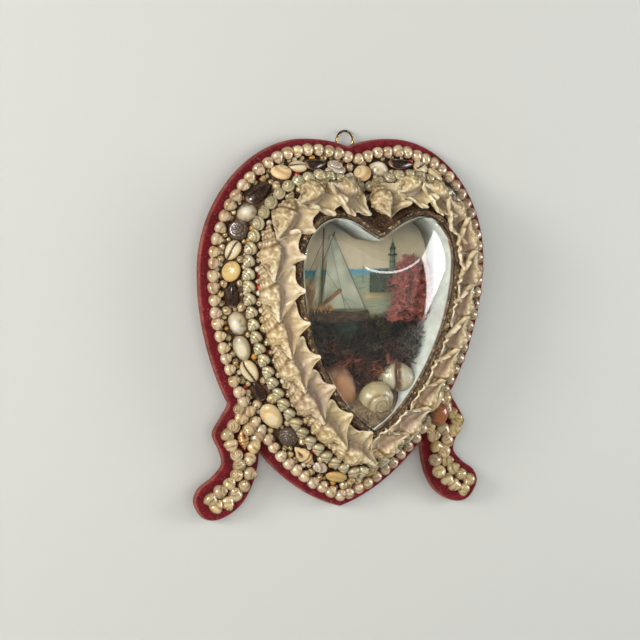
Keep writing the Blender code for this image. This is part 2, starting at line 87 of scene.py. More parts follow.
def ramp(value: float, low: float, high: float) -> float:
    """Return 0 below low, 1 above high and a smooth rise between them."""
    t = min(max((value - low) / (high - low), 0.0), 1.0)
    return t * t * (3 - 2 * t)


def hump(offset: float, width: float) -> float:
    """Return 1 at no offset, falling away smoothly over a width on both sides."""
    return math.exp(-(offset / width) ** 2)


def crest(angle: float) -> float:
    """Return a cosine raised to run from 0 to 1."""
    return 0.5 + 0.5 * math.cos(angle)


def speckle(place: Vector, size: float, seed: float = 0.0) -> float:
    """Return smooth noise from -1 to 1 at a place, with lumps of a given size."""
    return noise.noise(place / size + Vector((seed, seed * 1.7, seed * 0.6)))


def roughen(shape: Shape, size: float, depth: float) -> None:
    """Push a shape's points about, in lumps of a size and by up to a depth, in millimetres."""
    for vertex in shape.verts:
        vertex.co += noise.noise_vector(vertex.co / (size * MM)) * depth * MM


def stations(values: Sequence[Sequence[float]], where: float) -> list[float]:
    """Read a table of stations at a place.

    Args:
        values: Rows whose first number is the place and the rest are measures there.
        where: The place to read; it is clamped to the table's ends.

    Returns:
        The measures, eased between the two nearest rows.
    """
    if where <= values[0][0]:
        return list(values[0][1:])
    for before, after in zip(values, values[1:]):
        if where <= after[0]:
            t = ramp(where, before[0], after[0])
            return [a + (b - a) * t for a, b in zip(before[1:], after[1:])]
    return list(values[-1][1:])


def smooth_line(points: Sequence[Sequence[float]], steps: int) -> list[tuple[float, ...]]:
    """Run a Catmull-Rom line through points, without its first and last gap.

    Args:
        points: The points, the first and last of which only steer the ends.
        steps: Places made between two points.

    Returns:
        The points of the finer line.
    """
    line = []
    for before, start, end, after in zip(points, points[1:], points[2:], points[3:]):
        for i in range(steps):
            t = i / steps
            line.append(tuple(
                0.5 * (2 * b + (c - a) * t + (2 * a - 5 * b + 4 * c - d) * t * t
                       + (3 * b - a - 3 * c + d) * t ** 3)
                for a, b, c, d in zip(before, start, end, after)
            ))
    line.append(tuple(points[-2]))
    return line


def turn(degrees: float, axis: str) -> Matrix:
    """Return a rotation about X, Y or Z."""
    return Matrix.Rotation(math.radians(degrees), 4, axis)


def shift(x: float, y: float, z: float) -> Matrix:
    """Return a move, in metres."""
    return Matrix.Translation((x, y, z))


def stretch(x: float, y: float, z: float) -> Matrix:
    """Return a scaling along each axis."""
    return Matrix.Diagonal((x, y, z, 1))


# ---- The hearts and the rows between them ----------------------------------------------


@dataclass(frozen=True)
class HeartFamily:
    """The board's heart, the glass heart, and every line between them.

    A share runs from 0 at the board's edge to 1 at the glass edge. A place runs from 0 at
    the notch to 3 at the tip. Points of the halves are in millimetres from the centre.
    """

    board: Halves = (
        ((0, 120.5), (8, 124), (20, 126), (33.5, 126)),
        ((33.5, 126), (75, 126), (111.6, 87), (111.6, 42)),
        ((111.6, 42), (111.6, -30), (62, -104), (0, -120.3)),
    )
    glass: Halves = (
        ((0, 63.5), (8, 66.5), (20, 77), (33, 77)),
        ((33, 77), (47, 77), (58.8, 64), (58.8, 45)),
        ((58.8, 45), (58.8, 2), (32, -48), (0, -65)),
    )
    centre_z: float = -130.6 * MM
    last_place: float = 3.0
    board_face: float = 5 * MM
    foot_share: float = 0.22
    foot_height: float = 5.3 * MM
    top_share: float = 0.915
    top_height: float = 44.2 * MM
    even_share: float = 0.6
    fine_steps: int = 600

    @staticmethod
    def half_point(heart: Halves, place: float) -> Point2:
        """Read a right half.

        Args:
            heart: The half's three Bezier spans.
            place: Where along it, from the notch to the tip.

        Returns:
            The (x, z) point there.
        """
        index = min(int(place), len(heart) - 1)
        t = place - index
        weights = ((1 - t) ** 3, 3 * (1 - t) ** 2 * t, 3 * (1 - t) * t * t, t ** 3)
        return tuple(sum(w * p[k] for w, p in zip(weights, heart[index])) for k in (0, 1))

    def point(self, share: float, place: float, side: int, height: float) -> Vector:
        """Return the point at a share and a place.

        Args:
            share: How far from the board's edge to the glass edge.
            place: Where along the half, from the notch to the tip.
            side: -1 for the left half and 1 for the right.
            height: Metres forward from the board's back.

        Returns:
            The point in the row frame.
        """
        outer = self.half_point(self.board, place)
        inner = self.half_point(self.glass, place)
        x, z = (o + (i - o) * share for o, i in zip(outer, inner))
        return Vector((side * x * MM, -height, z * MM + self.centre_z))

    def at(self, x: float, z: float, forward: float) -> Vector:
        """Return a point from its millimetres right of, above and forward of the centre."""
        return Vector((x * MM, -forward * MM, z * MM + self.centre_z))

    def even_places(self, count: int) -> list[float]:
        """Space places evenly along the middle heart.

        Args:
            count: How many steps the half is cut in.

        Returns:
            count + 1 places.
        """
        fine = [self.last_place * i / self.fine_steps for i in range(self.fine_steps + 1)]
        points = [self.point(self.even_share, place, 1, 0) for place in fine]
        marks = [0.0]
        for first, second in zip(points, points[1:]):
            marks.append(marks[-1] + (second - first).length)
        places, k = [], 0
        for i in range(count + 1):
            while k < len(marks) - 1 and marks[k] < marks[-1] * i / count:
                k += 1
            places.append(fine[k])
        return places

    def loop(self, share: float, height: float, half_count: int) -> list[Vector]:
        """Return a closed heart: down the left side and up the right.

        Args:
            share: How far from the board's edge to the glass edge.
            height: Metres forward from the board's back.
            half_count: Steps on each side.

        Returns:
            The loop's points.
        """
        places = self.even_places(half_count)
        left = [self.point(share, place, -1, height) for place in places]
        return left + [self.point(share, place, 1, height) for place in reversed(places[1:-1])]

    def ground(self, share: float) -> float:
        """Return the height of the ground.

        Args:
            share: How far from the board's edge to the glass edge.

        Returns:
            The board's face, or the slope's height there, in metres.
        """
        if share < self.foot_share:
            return self.board_face
        climb = (share - self.foot_share) / (self.top_share - self.foot_share)
        return self.foot_height + climb * (self.top_height - self.foot_height)


class Row:
    """A closed line that shells sit along, from the notch down the left side and round."""

    def __init__(self, hearts: HeartFamily, share: float, lift: float, step: float = 0.01, half_count: int = 60):
        """Lay the line.

        Args:
            hearts: The hearts that it runs between.
            share: How far from the board's edge to the glass edge.
            lift: Metres off the ground at which its length is measured.
            step: The share to the line that tells which way is inward.
            half_count: Steps on each side.
        """
        self.lift = lift
        height = hearts.ground(share)
        beyond_height = height if share < hearts.foot_share else hearts.ground(share + step)
        ground = hearts.loop(share, height, half_count)
        beyond = hearts.loop(share + step, beyond_height, half_count)
        self.inward = [(b - a).normalized() for a, b in zip(ground, beyond)]
        self.points = []
        for i, point in enumerate(ground):
            along = ground[(i + 1) % len(ground)] - ground[i - 1]
            self.points.append(point + along.cross(self.inward[i]).normalized() * lift)
        self.marks = [0.0]
        for first, second in zip(self.points, self.points[1:] + self.points[:1]):
            self.marks.append(self.marks[-1] + (second - first).length)
        self.length = self.marks[-1]

    def sample(self, distance: float) -> tuple[Vector, Vector]:
        """Read the line.

        Args:
            distance: Metres along it from the notch.

        Returns:
            The point and the inward direction there.
        """
        distance = distance % self.length
        low, high = 0, len(self.marks) - 1
        while high - low > 1:
            middle = (low + high) // 2
            low, high = (middle, high) if self.marks[middle] < distance else (low, middle)
        after = (low + 1) % len(self.points)
        part = (distance - self.marks[low]) / (self.marks[low + 1] - self.marks[low])
        return self.points[low].lerp(self.points[after], part), self.inward[low].lerp(self.inward[after], part)

    def seat(self, distance: float, lift: float = 0.0, aside: float = 0.0) -> Matrix:
        """Return a seat on the ground: x along the row, y inward, z off the ground.

        Args:
            distance: Metres along the row from the notch.
            lift: Metres off the ground.
            aside: Metres towards the glass.

        Returns:
            The seat's matrix.
        """
        reach = 2 * MM
        point, inward = self.sample(distance)
        along = (self.sample(distance + reach)[0] - self.sample(distance - reach)[0]).normalized()
        off = along.cross(inward).normalized()
        inward = off.cross(along)
        seat = Matrix((along, inward, off)).transposed().to_4x4()
        seat.translation = point + off * (lift - self.lift) + inward * aside
        return seat


# ---- Meshes ----------------------------------------------------------------------------


def tinted_shape() -> Shape:
    """Start a shape whose points can hold a "tint".

    Returns:
        The empty shape.
    """
    shape = bmesh.new()
    shape.verts.layers.float_color.new("tint")
    return shape


def tint(shape: Shape, rule: Rule) -> None:
    """Colour every point of a shape by a rule, in its "tint" attribute.

    Args:
        shape: The shape to colour.
        rule: Gives the colour at a point.
    """
    layer = shape.verts.layers.float_color.get("tint") or shape.verts.layers.float_color.new("tint")
    for vertex in shape.verts:
        vertex[layer] = (*rule(vertex), 1.0)


def tint_in_order(shape: Shape, marks: Sequence[tuple], hue: Callable[..., Colour]) -> None:
    """Colour every point of a shape from its own marks, which are in the points' order."""
    rest = iter(marks)
    tint(shape, lambda vertex: hue(vertex, *next(rest)))


def reform(shape: Shape, place: Callable[[Vert], tuple], hue: Callable[..., Colour]) -> None:
    """Move every point of a shape by one rule, then colour it by another from what the first returned."""
    tint_in_order(shape, [place(vertex) for vertex in shape.verts], hue)


def ball(sides: int, rings: int, along: str = "Z") -> Shape:
    """Make a unit ball.

    Args:
        sides: Faces round it.
        rings: Faces from pole to pole.
        along: The axis that its poles lie on, X or Z.

    Returns:
        The new shape.
    """
    shape = bmesh.new()
    matrix = turn(90, "Y") if along == "X" else Matrix.Identity(4)
    bmesh.ops.create_uvsphere(shape, u_segments=sides, v_segments=rings, radius=1, matrix=matrix)
    return shape


def sheet(shape: Shape, across: int, up: int) -> list[tuple[Vert, float, float]]:
    """Add a unit grid and return its points, each with its share of the way across and up."""
    made = bmesh.ops.create_grid(shape, x_segments=across, y_segments=up, size=0.5)["verts"]
    return [(vertex, vertex.co.x + 0.5, vertex.co.y + 0.5) for vertex in made]


def to_mesh(shape: Shape, name: str) -> bpy.types.Mesh:
    """Turn a shape into a smooth mesh and free it.

    Args:
        shape: The finished shape.
        name: The mesh's name.

    Returns:
        The new mesh.
    """
    bmesh.ops.recalc_face_normals(shape, faces=shape.faces)
    mesh = bpy.data.meshes.new(name)
    shape.to_mesh(mesh)
    shape.free()
    mesh.shade_smooth()
    return mesh


def add_copy(
    target: Shape, master: bpy.types.Mesh, seat: Matrix, hue: Colour = WHITE, ground: Matrix | None = None,
    shade_height: float = 1.0,
) -> None:
    """Add a copy of a mesh to a shape.

    Args:
        target: The shape that receives the copy.
        master: The mesh to copy.
        seat: Where the copy goes.
        hue: What its colours are multiplied by.
        ground: A seat on the ground; near it the copy's foot is darkened with painted shade.
        shade_height: How far off that ground the painted shade ends, in metres.
    """
    first = len(target.verts)
    target.from_mesh(master)
    target.verts.ensure_lookup_table()
    fresh = target.verts[first:]
    bmesh.ops.transform(target, matrix=seat, verts=fresh)
    layer = target.verts.layers.float_color["tint"]
    back = ground.inverted() if ground else None
    for vertex in fresh:
        # Near the ground the copy is darkened: painted shade in the crevice where it sits.
        worn = blend(FOOT_SHADE, WHITE, ramp((back @ vertex.co).z, 0.0, shade_height)) if back else WHITE
        vertex[layer] = (*(c * h * w for c, h, w in zip(vertex[layer], hue, worn)), 1.0)


def skin(shape: Shape, sections: Sequence[Sequence[Vector]], closed: bool, capped: bool = False) -> None:
    """Stretch a grid over rings of points and join its sides into a skin.

    Args:
        shape: The shape that receives the skin.
        sections: The rings, each of the same count of points.
        closed: Whether the last ring joins the first.
        capped: Whether the two end rings are filled.
    """
    rows = [*sections, sections[0]] if closed else list(sections)
    count, last = len(rows[0]), len(rows) - 1
    spots = {(round(u * count), round(v * last)): vertex for vertex, u, v in sheet(shape, count, last)}
    for (column, ring), vertex in spots.items():
        vertex.co = rows[ring][column % count]
    weld = {spots[count, ring]: spots[0, ring] for ring in range(last + 1)}
    if closed:
        weld.update({spots[column, last]: spots[column % count, 0] for column in range(count + 1)})
        weld[spots[count, 0]] = spots[0, 0]
    bmesh.ops.weld_verts(shape, targetmap=weld)
    for ring in (0, last) if capped else ():
        loop = [spots[column, ring] for column in range(count)]
        edges = [shape.edges.get((first, second)) for first, second in zip(loop, loop[1:] + loop[:1])]
        bmesh.ops.contextual_create(shape, geom=edges)


def tube(shape: Shape, line: Sequence[Vector], radii: Sequence[float], sides: int, closed: bool = False) -> None:
    """Add a round wire along a line.

    Args:
        shape: The shape that receives the wire.
        line: The points of its middle.
        radii: Its radius at each point.
        sides: Sides round it.
        closed: Whether it runs round to its start.
    """
    count = len(line)
    sections = []
    normal = None
    for i, point in enumerate(line):
        before = line[i - 1] if closed or i else point
        after = line[(i + 1) % count] if closed or i < count - 1 else point
        along = (after - before).normalized()
        if normal is None:
            normal = along.orthogonal().normalized()
        normal = (normal - along * normal.dot(along)).normalized()
        other = along.cross(normal)
        sections.append([
            point + (normal * math.cos(a) + other * math.sin(a)) * radii[i]
            for a in (math.tau * k / sides for k in range(sides))
        ])
    skin(shape, sections, closed, capped=not closed)


# ---- Effects that several finishes share -----------------------------------------------


class Nodes:
    """A node tree under construction."""

    def __init__(self, tree: bpy.types.NodeTree):
        """Take the tree that the nodes go into."""
        self.tree = tree

    def node(self, kind: str, feeds: Feeds | None = None, **settings: object) -> bpy.types.Node:
        """Add a node.

        Args:
            kind: Its Blender type, without "ShaderNode".
            feeds: For each input, the socket that feeds it or its value.
            settings: Properties of the node.

        Returns:
            The node.
        """
        node = self.tree.nodes.new("ShaderNode" + kind)
        for key, value in settings.items():
            setattr(node, key, value)
        for key, value in (feeds or {}).items():
            if isinstance(value, Socket):
                self.tree.links.new(value, node.inputs[key])
            else:
                node.inputs[key].default_value = value
        return node

    def place(self) -> Socket:
        """Return the place on the piece, which patterns are fixed to."""
        return self.node("TexCoord").outputs["Object"]

    def cloud(self, scale: Socket | float, detail: float, **more: float) -> Socket:
        """Return noise of a scale and a detail."""
        feeds = {"Vector": self.place(), "Scale": scale, "Detail": detail, **more}
        return self.node("TexNoise", feeds).outputs["Fac"]

    def sum(self, operation: str, first: Socket, second: Socket | float, clamp: bool = False) -> Socket:
        """Return what an operation makes of two numbers."""
        return self.node("Math", {0: first, 1: second}, operation=operation, use_clamp=clamp).outputs[0]

    def spread(self, value: Socket, to: Sequence[object], start: Point2 = (0.0, 1.0)) -> Socket:
        """Return a value carried from its starting range to another, whose ends may be sockets."""
        ends = ("From Min", "From Max", "To Min", "To Max")
        return self.node("MapRange", {"Value": value, **dict(zip(ends, (*start, *to)))}).outputs[0]

    def mix(self, share: Socket, first: object, second: object) -> Socket:
        """Return two colours mixed by a share."""
        return self.node("Mix", {"Factor": share, 6: first, 7: second}, data_type="RGBA").outputs[2]


class EffectGroup(Nodes):
    """A shader node group under construction, with named inputs and outputs."""

    def __init__(self, name: str, **inputs: object):
        """Start a group.

        Args:
            name: Its name.
            inputs: The plain value of each input: a number or a colour.
        """
        super().__init__(bpy.data.node_groups.new(name, "ShaderNodeTree"))
        for label, value in inputs.items():
            kind = "NodeSocketFloat" if isinstance(value, float) else "NodeSocketColor"
            self.tree.interface.new_socket(label, in_out="INPUT", socket_type=kind).default_value = value
        self.given = self.tree.nodes.new("NodeGroupInput").outputs

    def finish(self, **results: Socket) -> bpy.types.NodeTree:
        """Give the group its outputs.

        Args:
            results: What feeds each output.

        Returns:
            The group's tree.
        """
        for label, socket in results.items():
            kind = "NodeSocketColor" if socket.type == "RGBA" else "NodeSocketFloat"
            self.tree.interface.new_socket(label, in_out="OUTPUT", socket_type=kind)
        result = self.tree.nodes.new("NodeGroupOutput")
        for label, socket in results.items():
            self.tree.links.new(socket, result.inputs[label])
        return self.tree


def make_mottle() -> bpy.types.NodeTree:
    """Make the cloudy staining that ages every surface.

    Returns:
        The group's tree, which puts out the aged colour and where it is stained.
    """
    group = EffectGroup(
        "mottle", Colour=(1, 1, 1, 1), Stain=(0.2, 0.1, 0.05, 1), Scale=200.0, Amount=0.5, Level=0.5
    )
    given = group.given
    above = group.sum("SUBTRACT", group.cloud(given["Scale"], 5.0), given["Level"])
    steep = group.sum("MULTIPLY", above, 5.0, clamp=True)
    mask = group.sum("MULTIPLY", steep, given["Amount"])
    return group.finish(Colour=group.mix(mask, given["Colour"], given["Stain"]), Mask=mask)


def make_relief() -> bpy.types.NodeTree:
    """Make the fine uneven height of natural surfaces: broad lumps with grain on them.

    Returns:
        The group's tree, which puts out a height.
    """
    group = EffectGroup("relief", Scale=400.0, Grain=2500.0, Share=0.4)
    given = group.given
    broad, fine = group.cloud(given["Scale"], 3.0), group.cloud(given["Grain"], 2.0)
    return group.finish(Height=group.node("Mix", {"Factor": given["Share"], 2: broad, 3: fine}).outputs[0])


def make_flecks() -> bpy.types.NodeTree:
    """Make scattered flecks: cells of which only a share shine.

    Returns:
        The group's tree, which puts out where the flecks are.
    """
    group = EffectGroup("flecks", Scale=900.0, Share=0.15)
    cells = group.node("TexVoronoi", {"Vector": group.place(), "Scale": group.given["Scale"]})
    parts = group.node("SeparateColor", {"Color": cells.outputs["Color"]})
    return group.finish(Mask=group.sum("LESS_THAN", parts.outputs["Red"], group.given["Share"]))


def make_nap() -> bpy.types.NodeTree:
    """Make velvet's nap: patches of painted sheen where its short fibres lie this way and that, a fine fibre grain,
    and lint caught in them.

    Returns:
        The group's tree, which puts out the pile's colour and its height.
    """
    group = EffectGroup("nap", Colour=(0.2, 0.01, 0.02, 1), Lint=(0.5, 0.4, 0.35, 1), Dusting=0.3)
    given = group.given
    lie, fibre = group.cloud(90.0, 4.0, Distortion=1.2), group.cloud(1500.0, 3.0)
    # Where the fibres lie another way the pile is painted lighter and darker in patches: painted sheen.
    light = group.spread(lie, (0.72, 1.25), (0.3, 0.7))
    grain = group.spread(fibre, (0.45, 1.5), (0.3, 0.7))
    level = group.sum("MULTIPLY", light, grain)
    pile = group.node("VectorMath", {0: given["Colour"], "Scale": level}, operation="SCALE").outputs[0]
    spots = group.spread(group.cloud(650.0, 3.0, Roughness=0.7), (0.0, 1.0), (0.62, 0.72))
    caught = group.sum("MULTIPLY", spots, given["Dusting"])
    return group.finish(Colour=group.mix(caught, pile, given["Lint"]), Height=fibre)


class Effects:
    """The shared effect groups, each made once."""

    def __init__(self) -> None:
        """Make the groups."""
        self.mottle = make_mottle()
        self.relief = make_relief()
        self.flecks = make_flecks()
        self.nap = make_nap()


# ---- Finishes --------------------------------------------------------------------------


class Dressing(Nodes):
    """One material under construction: its tree and its Principled shader."""

    def __init__(self, name: str, **plain: object):
        """Start a material.

        Args:
            name: Its name.
            plain: Values set on the shader's own sockets, with underscores for spaces.
        """
        self.material = bpy.data.materials.new(name)
        self.material.use_nodes = True
        super().__init__(self.material.node_tree)
        self.shader = self.tree.nodes["Principled BSDF"]
        for key, value in plain.items():
            self.shader.inputs[key.replace("_", " ")].default_value = value

    def effect(self, tree: bpy.types.NodeTree, **feeds: object) -> bpy.types.NodeOutputs:
        """Place a shared effect with this material's values and return its outputs."""
        return self.node("Group", feeds, node_tree=tree).outputs

    def tint(self) -> Socket:
        """Return the colours of the piece's own points."""
        return self.node("Attribute", attribute_name="tint").outputs["Color"]

    def feed(self, name: str, socket: Socket) -> None:
        """Link a socket to one of the shader's inputs."""
        self.tree.links.new(socket, self.shader.inputs[name])

    def surface(self, shader: Socket) -> None:
        """Show another shader in the place of the Principled one."""
        self.tree.links.new(shader, self.tree.nodes["Material Output"].inputs["Surface"])

    def bump(self, height: Socket, strength: float, depth: float) -> None:
        """Raise fine relief from a height, depth metres deep."""
        bump = self.node("Bump", {"Height": height, "Strength": strength, "Distance": depth})
        self.feed("Normal", bump.outputs["Normal"])


@dataclass(frozen=True)
class ShellFinish:
    """A shell's surface: its colours come from the mesh, and this is how they age and shine."""

    name: str
    roughness: float
    coat: float = 0.0
    coat_roughness: float = 0.15
    stain: Colour = (0.20, 0.12, 0.06)
    stain_scale: float = 260.0
    stain_amount: float = 0.35
    stain_level: float = 0.52
    stain_dulls: float = 0.45
    relief: float = 0.25
    relief_scale: float = 500.0
    relief_depth: float = 0.25 * MM
    film: float = 0.0
    nacre: float = 0.0
    subsurface: float = 0.0

    def material(self, effects: Effects) -> bpy.types.Material:
        """Build the material.

        Args:
            effects: The shared effect groups.

        Returns:
            The material.
        """
        dress = Dressing(
            self.name, Coat_Weight=self.coat, Coat_Roughness=self.coat_roughness, Metallic=self.nacre,
            Subsurface_Weight=self.subsurface, Subsurface_Scale=2 * MM, Thin_Film_Thickness=self.film,
        )
        aged = dress.effect(
            effects.mottle, Colour=dress.tint(), Stain=(*self.stain, 1), Scale=self.stain_scale,
            Amount=self.stain_amount, Level=self.stain_level,
        )
        dress.feed("Base Color", aged["Colour"])
        dress.feed("Roughness", dress.spread(
            aged["Mask"], (self.roughness, min(self.roughness + self.stain_dulls, 1.0))
        ))
        relief = dress.effect(effects.relief, Scale=self.relief_scale, Grain=self.relief_scale * 6)
        dress.bump(relief["Height"], self.relief, self.relief_depth)
        return dress.material


@dataclass(frozen=True)
class VelvetFinish:
    """Cotton velvet, deep where it is covered and rubbed thin where it is handled."""

    name: str = "crimson_velvet"
    lint: Colour = (0.42, 0.30, 0.26)
    dust: float = 0.6
    stain: Colour = (0.07, 0.012, 0.012)
    sheen: Colour = (0.8, 0.4, 0.42)

    def material(self, effects: Effects) -> bpy.types.Material:
        """Build the material.

        Args:
            effects: The shared effect groups.

        Returns:
            The material.
        """
        dress = Dressing(
            self.name, Roughness=1.0, Specular_IOR_Level=0.1, Sheen_Weight=0.18, Sheen_Roughness=0.5,
            Sheen_Tint=(*self.sheen, 1),
        )
        nap = dress.effect(effects.nap, Colour=dress.tint(), Lint=(*self.lint, 1), Dusting=self.dust)
        worn = dress.effect(
            effects.mottle, Colour=nap["Colour"], Stain=(*self.stain, 1), Scale=120.0, Amount=0.5, Level=0.5
        )
        dress.feed("Base Color", worn["Colour"])
        dress.bump(nap["Height"], 0.5, 0.4 * MM)
        return dress.material


@dataclass(frozen=True)
class CrumbFinish:
    """A crumbly surface of grains, some of which glitter."""

    name: str
    dark: Colour
    light: Colour
    glint: Colour
    grain: float = 1300.0
    glitter: float = 0.10
    relief: float = 1.0
    depth: float = 0.8 * MM
    roughness: float = 0.75
    shine: float = 0.25

    def material(self, effects: Effects) -> bpy.types.Material:
        """Build the material.

        Args:
            effects: The shared effect groups.

        Returns:
            The material.
        """
        dress = Dressing(self.name)
        ground = dress.effect(
            effects.mottle, Colour=(*self.light, 1), Stain=(*self.dark, 1), Scale=self.grain / 4, Amount=1.0,
            Level=0.42,
        )
        flecks = dress.effect(effects.flecks, Scale=self.grain, Share=self.glitter)["Mask"]
        dress.feed("Base Color", dress.mix(flecks, ground["Colour"], (*self.glint, 1)))
        dress.feed("Metallic", dress.sum("MULTIPLY", flecks, 0.7))
        dress.feed("Roughness", dress.spread(flecks, (self.roughness, self.shine)))
        relief = dress.effect(effects.relief, Scale=self.grain / 3, Grain=self.grain * 2, Share=0.5)
        dress.bump(relief["Height"], self.relief, self.depth)
        return dress.material


@dataclass(frozen=True)
class PaintFinish:
    """Thin old paint or dyed fibre: the mesh's colours, streaked and a little faded."""

    name: str
    roughness: float = 0.85
    fade: Colour = (0.16, 0.15, 0.12)
    fade_scale: float = 160.0
    fade_amount: float = 0.4

    def material(self, effects: Effects) -> bpy.types.Material:
        """Build the material.

        Args:
            effects: The shared effect groups.

        Returns:
            The material.
        """
        dress = Dressing(self.name, Roughness=self.roughness, Specular_IOR_Level=0.25)
        aged = dress.effect(
            effects.mottle, Colour=dress.tint(), Stain=(*self.fade, 1), Scale=self.fade_scale,
            Amount=self.fade_amount, Level=0.48,
        )
        dress.feed("Base Color", aged["Colour"])
        relief = dress.effect(effects.relief, Scale=700.0, Grain=4000.0)
        dress.bump(relief["Height"], 0.15, 0.1 * MM)
        return dress.material


@dataclass(frozen=True)
class BrassFinish:
    """Old brass wire: brown tarnish with brighter rubbed places."""

    name: str = "aged_brass"
    bright: Colour = (0.62, 0.42, 0.16)
    tarnish: Colour = (0.14, 0.085, 0.03)

    def material(self, effects: Effects) -> bpy.types.Material:
        """Build the material.

        Args:
            effects: The shared effect groups.

        Returns:
            The material.
        """
        dress = Dressing(self.name, Metallic=1.0)
        aged = dress.effect(
            effects.mottle, Colour=(*self.bright, 1), Stain=(*self.tarnish, 1), Scale=420.0, Amount=0.9, Level=0.45
        )
        dress.feed("Base Color", aged["Colour"])
        dress.feed("Roughness", dress.spread(aged["Mask"], (0.25, 0.6)))
        relief = dress.effect(effects.relief, Scale=900.0, Grain=5000.0)
        dress.bump(relief["Height"], 0.3, 0.15 * MM)
        return dress.material


@dataclass(frozen=True)
class GlassFinish:
    """Clear old glass. Light passes through it to the scene behind."""

    name: str = "clear_glass"
    hue: Colour = (0.93, 0.95, 0.94)
    shadow: Colour = (0.87, 0.89, 0.87)

    def material(self, effects: Effects) -> bpy.types.Material:
        """Build the material.

        Args:
            effects: The shared effects, of which it needs none.

        Returns:
            The material.
        """
        dress = Dressing(
            self.name, Base_Color=(*self.hue, 1), Roughness=0.0, IOR=1.45, Transmission_Weight=1.0
        )
        path = dress.node("LightPath").outputs["Is Shadow Ray"]
        clear = dress.node("BsdfTransparent", {"Color": (*self.shadow, 1)}).outputs[0]
        dress.surface(dress.node("MixShader", {0: path, 1: dress.shader.outputs[0], 2: clear}).outputs[0])
        return dress.material


FINISHES = (
    VelvetFinish(),
    BrassFinish(),
    GlassFinish(),
    ShellFinish("cream_pearl", 0.24, coat=1.0, coat_roughness=0.035, stain=(0.26, 0.15, 0.07),
                relief=0.15, film=400.0, nacre=0.25),
    ShellFinish("green_pearl", 0.24, coat=1.0, coat_roughness=0.035, stain=(0.25, 0.15, 0.07),
                relief=0.15, film=440.0, nacre=0.25),
    ShellFinish("ochre_shell", 0.5, coat=0.3, coat_roughness=0.22, stain=(0.34, 0.20, 0.085), stain_amount=0.62,
                stain_scale=420.0, stain_level=0.53, relief=1.0, relief_scale=1000.0, relief_depth=0.4 * MM,
                subsurface=0.04),
    ShellFinish("porcelain_shell", 0.22, coat=0.5, coat_roughness=0.06, stain=(0.45, 0.30, 0.14),
                stain_amount=0.3, relief=0.05, subsurface=0.1),
    ShellFinish("chalky_shell", 0.6, stain=(0.30, 0.22, 0.13), stain_amount=0.5, relief=0.5),
    ShellFinish("dark_shell", 0.30, coat=0.8, coat_roughness=0.07, stain=(0.12, 0.08, 0.055), stain_amount=0.4,
                stain_scale=420.0, relief=0.4),
    ShellFinish("glassy_bead", 0.18, coat=0.4, coat_roughness=0.08, stain=(0.2, 0.05, 0.03), stain_amount=0.3,
                relief=0.1, subsurface=0.1),
    CrumbFinish("brown_ground", dark=(0.026, 0.012, 0.007), light=(0.095, 0.048, 0.024),
                glint=(0.34, 0.20, 0.09), glitter=0.08, shine=0.4, roughness=0.7),
    CrumbFinish("gilt_brown_bead", dark=(0.020, 0.010, 0.005), light=(0.085, 0.046, 0.020),
                glint=(0.80, 0.58, 0.30), glitter=0.13, depth=1.2 * MM),
    CrumbFinish("glittering_sand", dark=(0.028, 0.013, 0.005), light=(0.115, 0.062, 0.025),
                glint=(0.80, 0.58, 0.32), grain=1900.0, glitter=0.11, relief=0.9),
    CrumbFinish("limed_card", dark=(0.34, 0.34, 0.31), light=(0.42, 0.43, 0.405), glint=(0.4, 0.4, 0.38),
                grain=500.0, glitter=0.01, relief=0.1, roughness=0.9, shine=0.8),
    PaintFinish("painted_picture", fade_amount=0.22),
    PaintFinish("dyed_weed", roughness=0.9, fade=(0.10, 0.06, 0.04), fade_scale=400.0, fade_amount=0.3),
    PaintFinish("dry_grass", roughness=0.8, fade=(0.25, 0.14, 0.05), fade_scale=500.0),
)


class Maker:
    """Turns shapes into finished pieces of the valentine."""

    def __init__(self) -> None:
        """Mix the finishes and make the collection that the pieces go into."""
        effects = Effects()
        self.finishes = {plan.name: plan.material(effects) for plan in FINISHES}
        self.collection = bpy.data.collections.new("valentine_looks")
        bpy.context.scene.collection.children.link(self.collection)

    def piece(self, shape: Shape, name: str, finish: str, slot: str, *nodes: str) -> None:
        """Add a piece to the valentine.

        Args:
            shape: Its shape, in place in the row frame.
            name: Its name.
            finish: The name of its finish.
            slot: The record's slot that its finish belongs to; it is not used.
            nodes: The nodes that it replaces.
        """
        mesh = to_mesh(shape, name)
        mesh.materials.append(self.finishes[finish])
        piece = bpy.data.objects.new(name, mesh)
        self.collection.objects.link(piece)
        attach(piece, BODY)
        if nodes:
            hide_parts(*nodes)
        LOG.info("%s: %d faces", name, len(mesh.polygons))


# ---- Shells ----------------------------------------------------------------------------


class ShellForm:
    """A shell made of one ball, reshaped and coloured point by point, in unit size."""

    sides: int = 28
    rings: int = 20
    along: str = "X"

    def build(self, name: str) -> bpy.types.Mesh:
        """Build the shell's mesh.

        Args:
            name: The mesh's name.

        Returns:
            The new mesh.
        """
        shape = ball(self.sides, self.rings, self.along)
        reform(shape, self.place, self.hue)
        return to_mesh(shape, name)

    def place(self, vertex: Vert) -> tuple:
        """Move a point and return what its colour depends on."""
        return ()

    def hue(self, vertex: Vert, *marks: float) -> Colour:
        """Return the colour at a point."""
        raise NotImplementedError


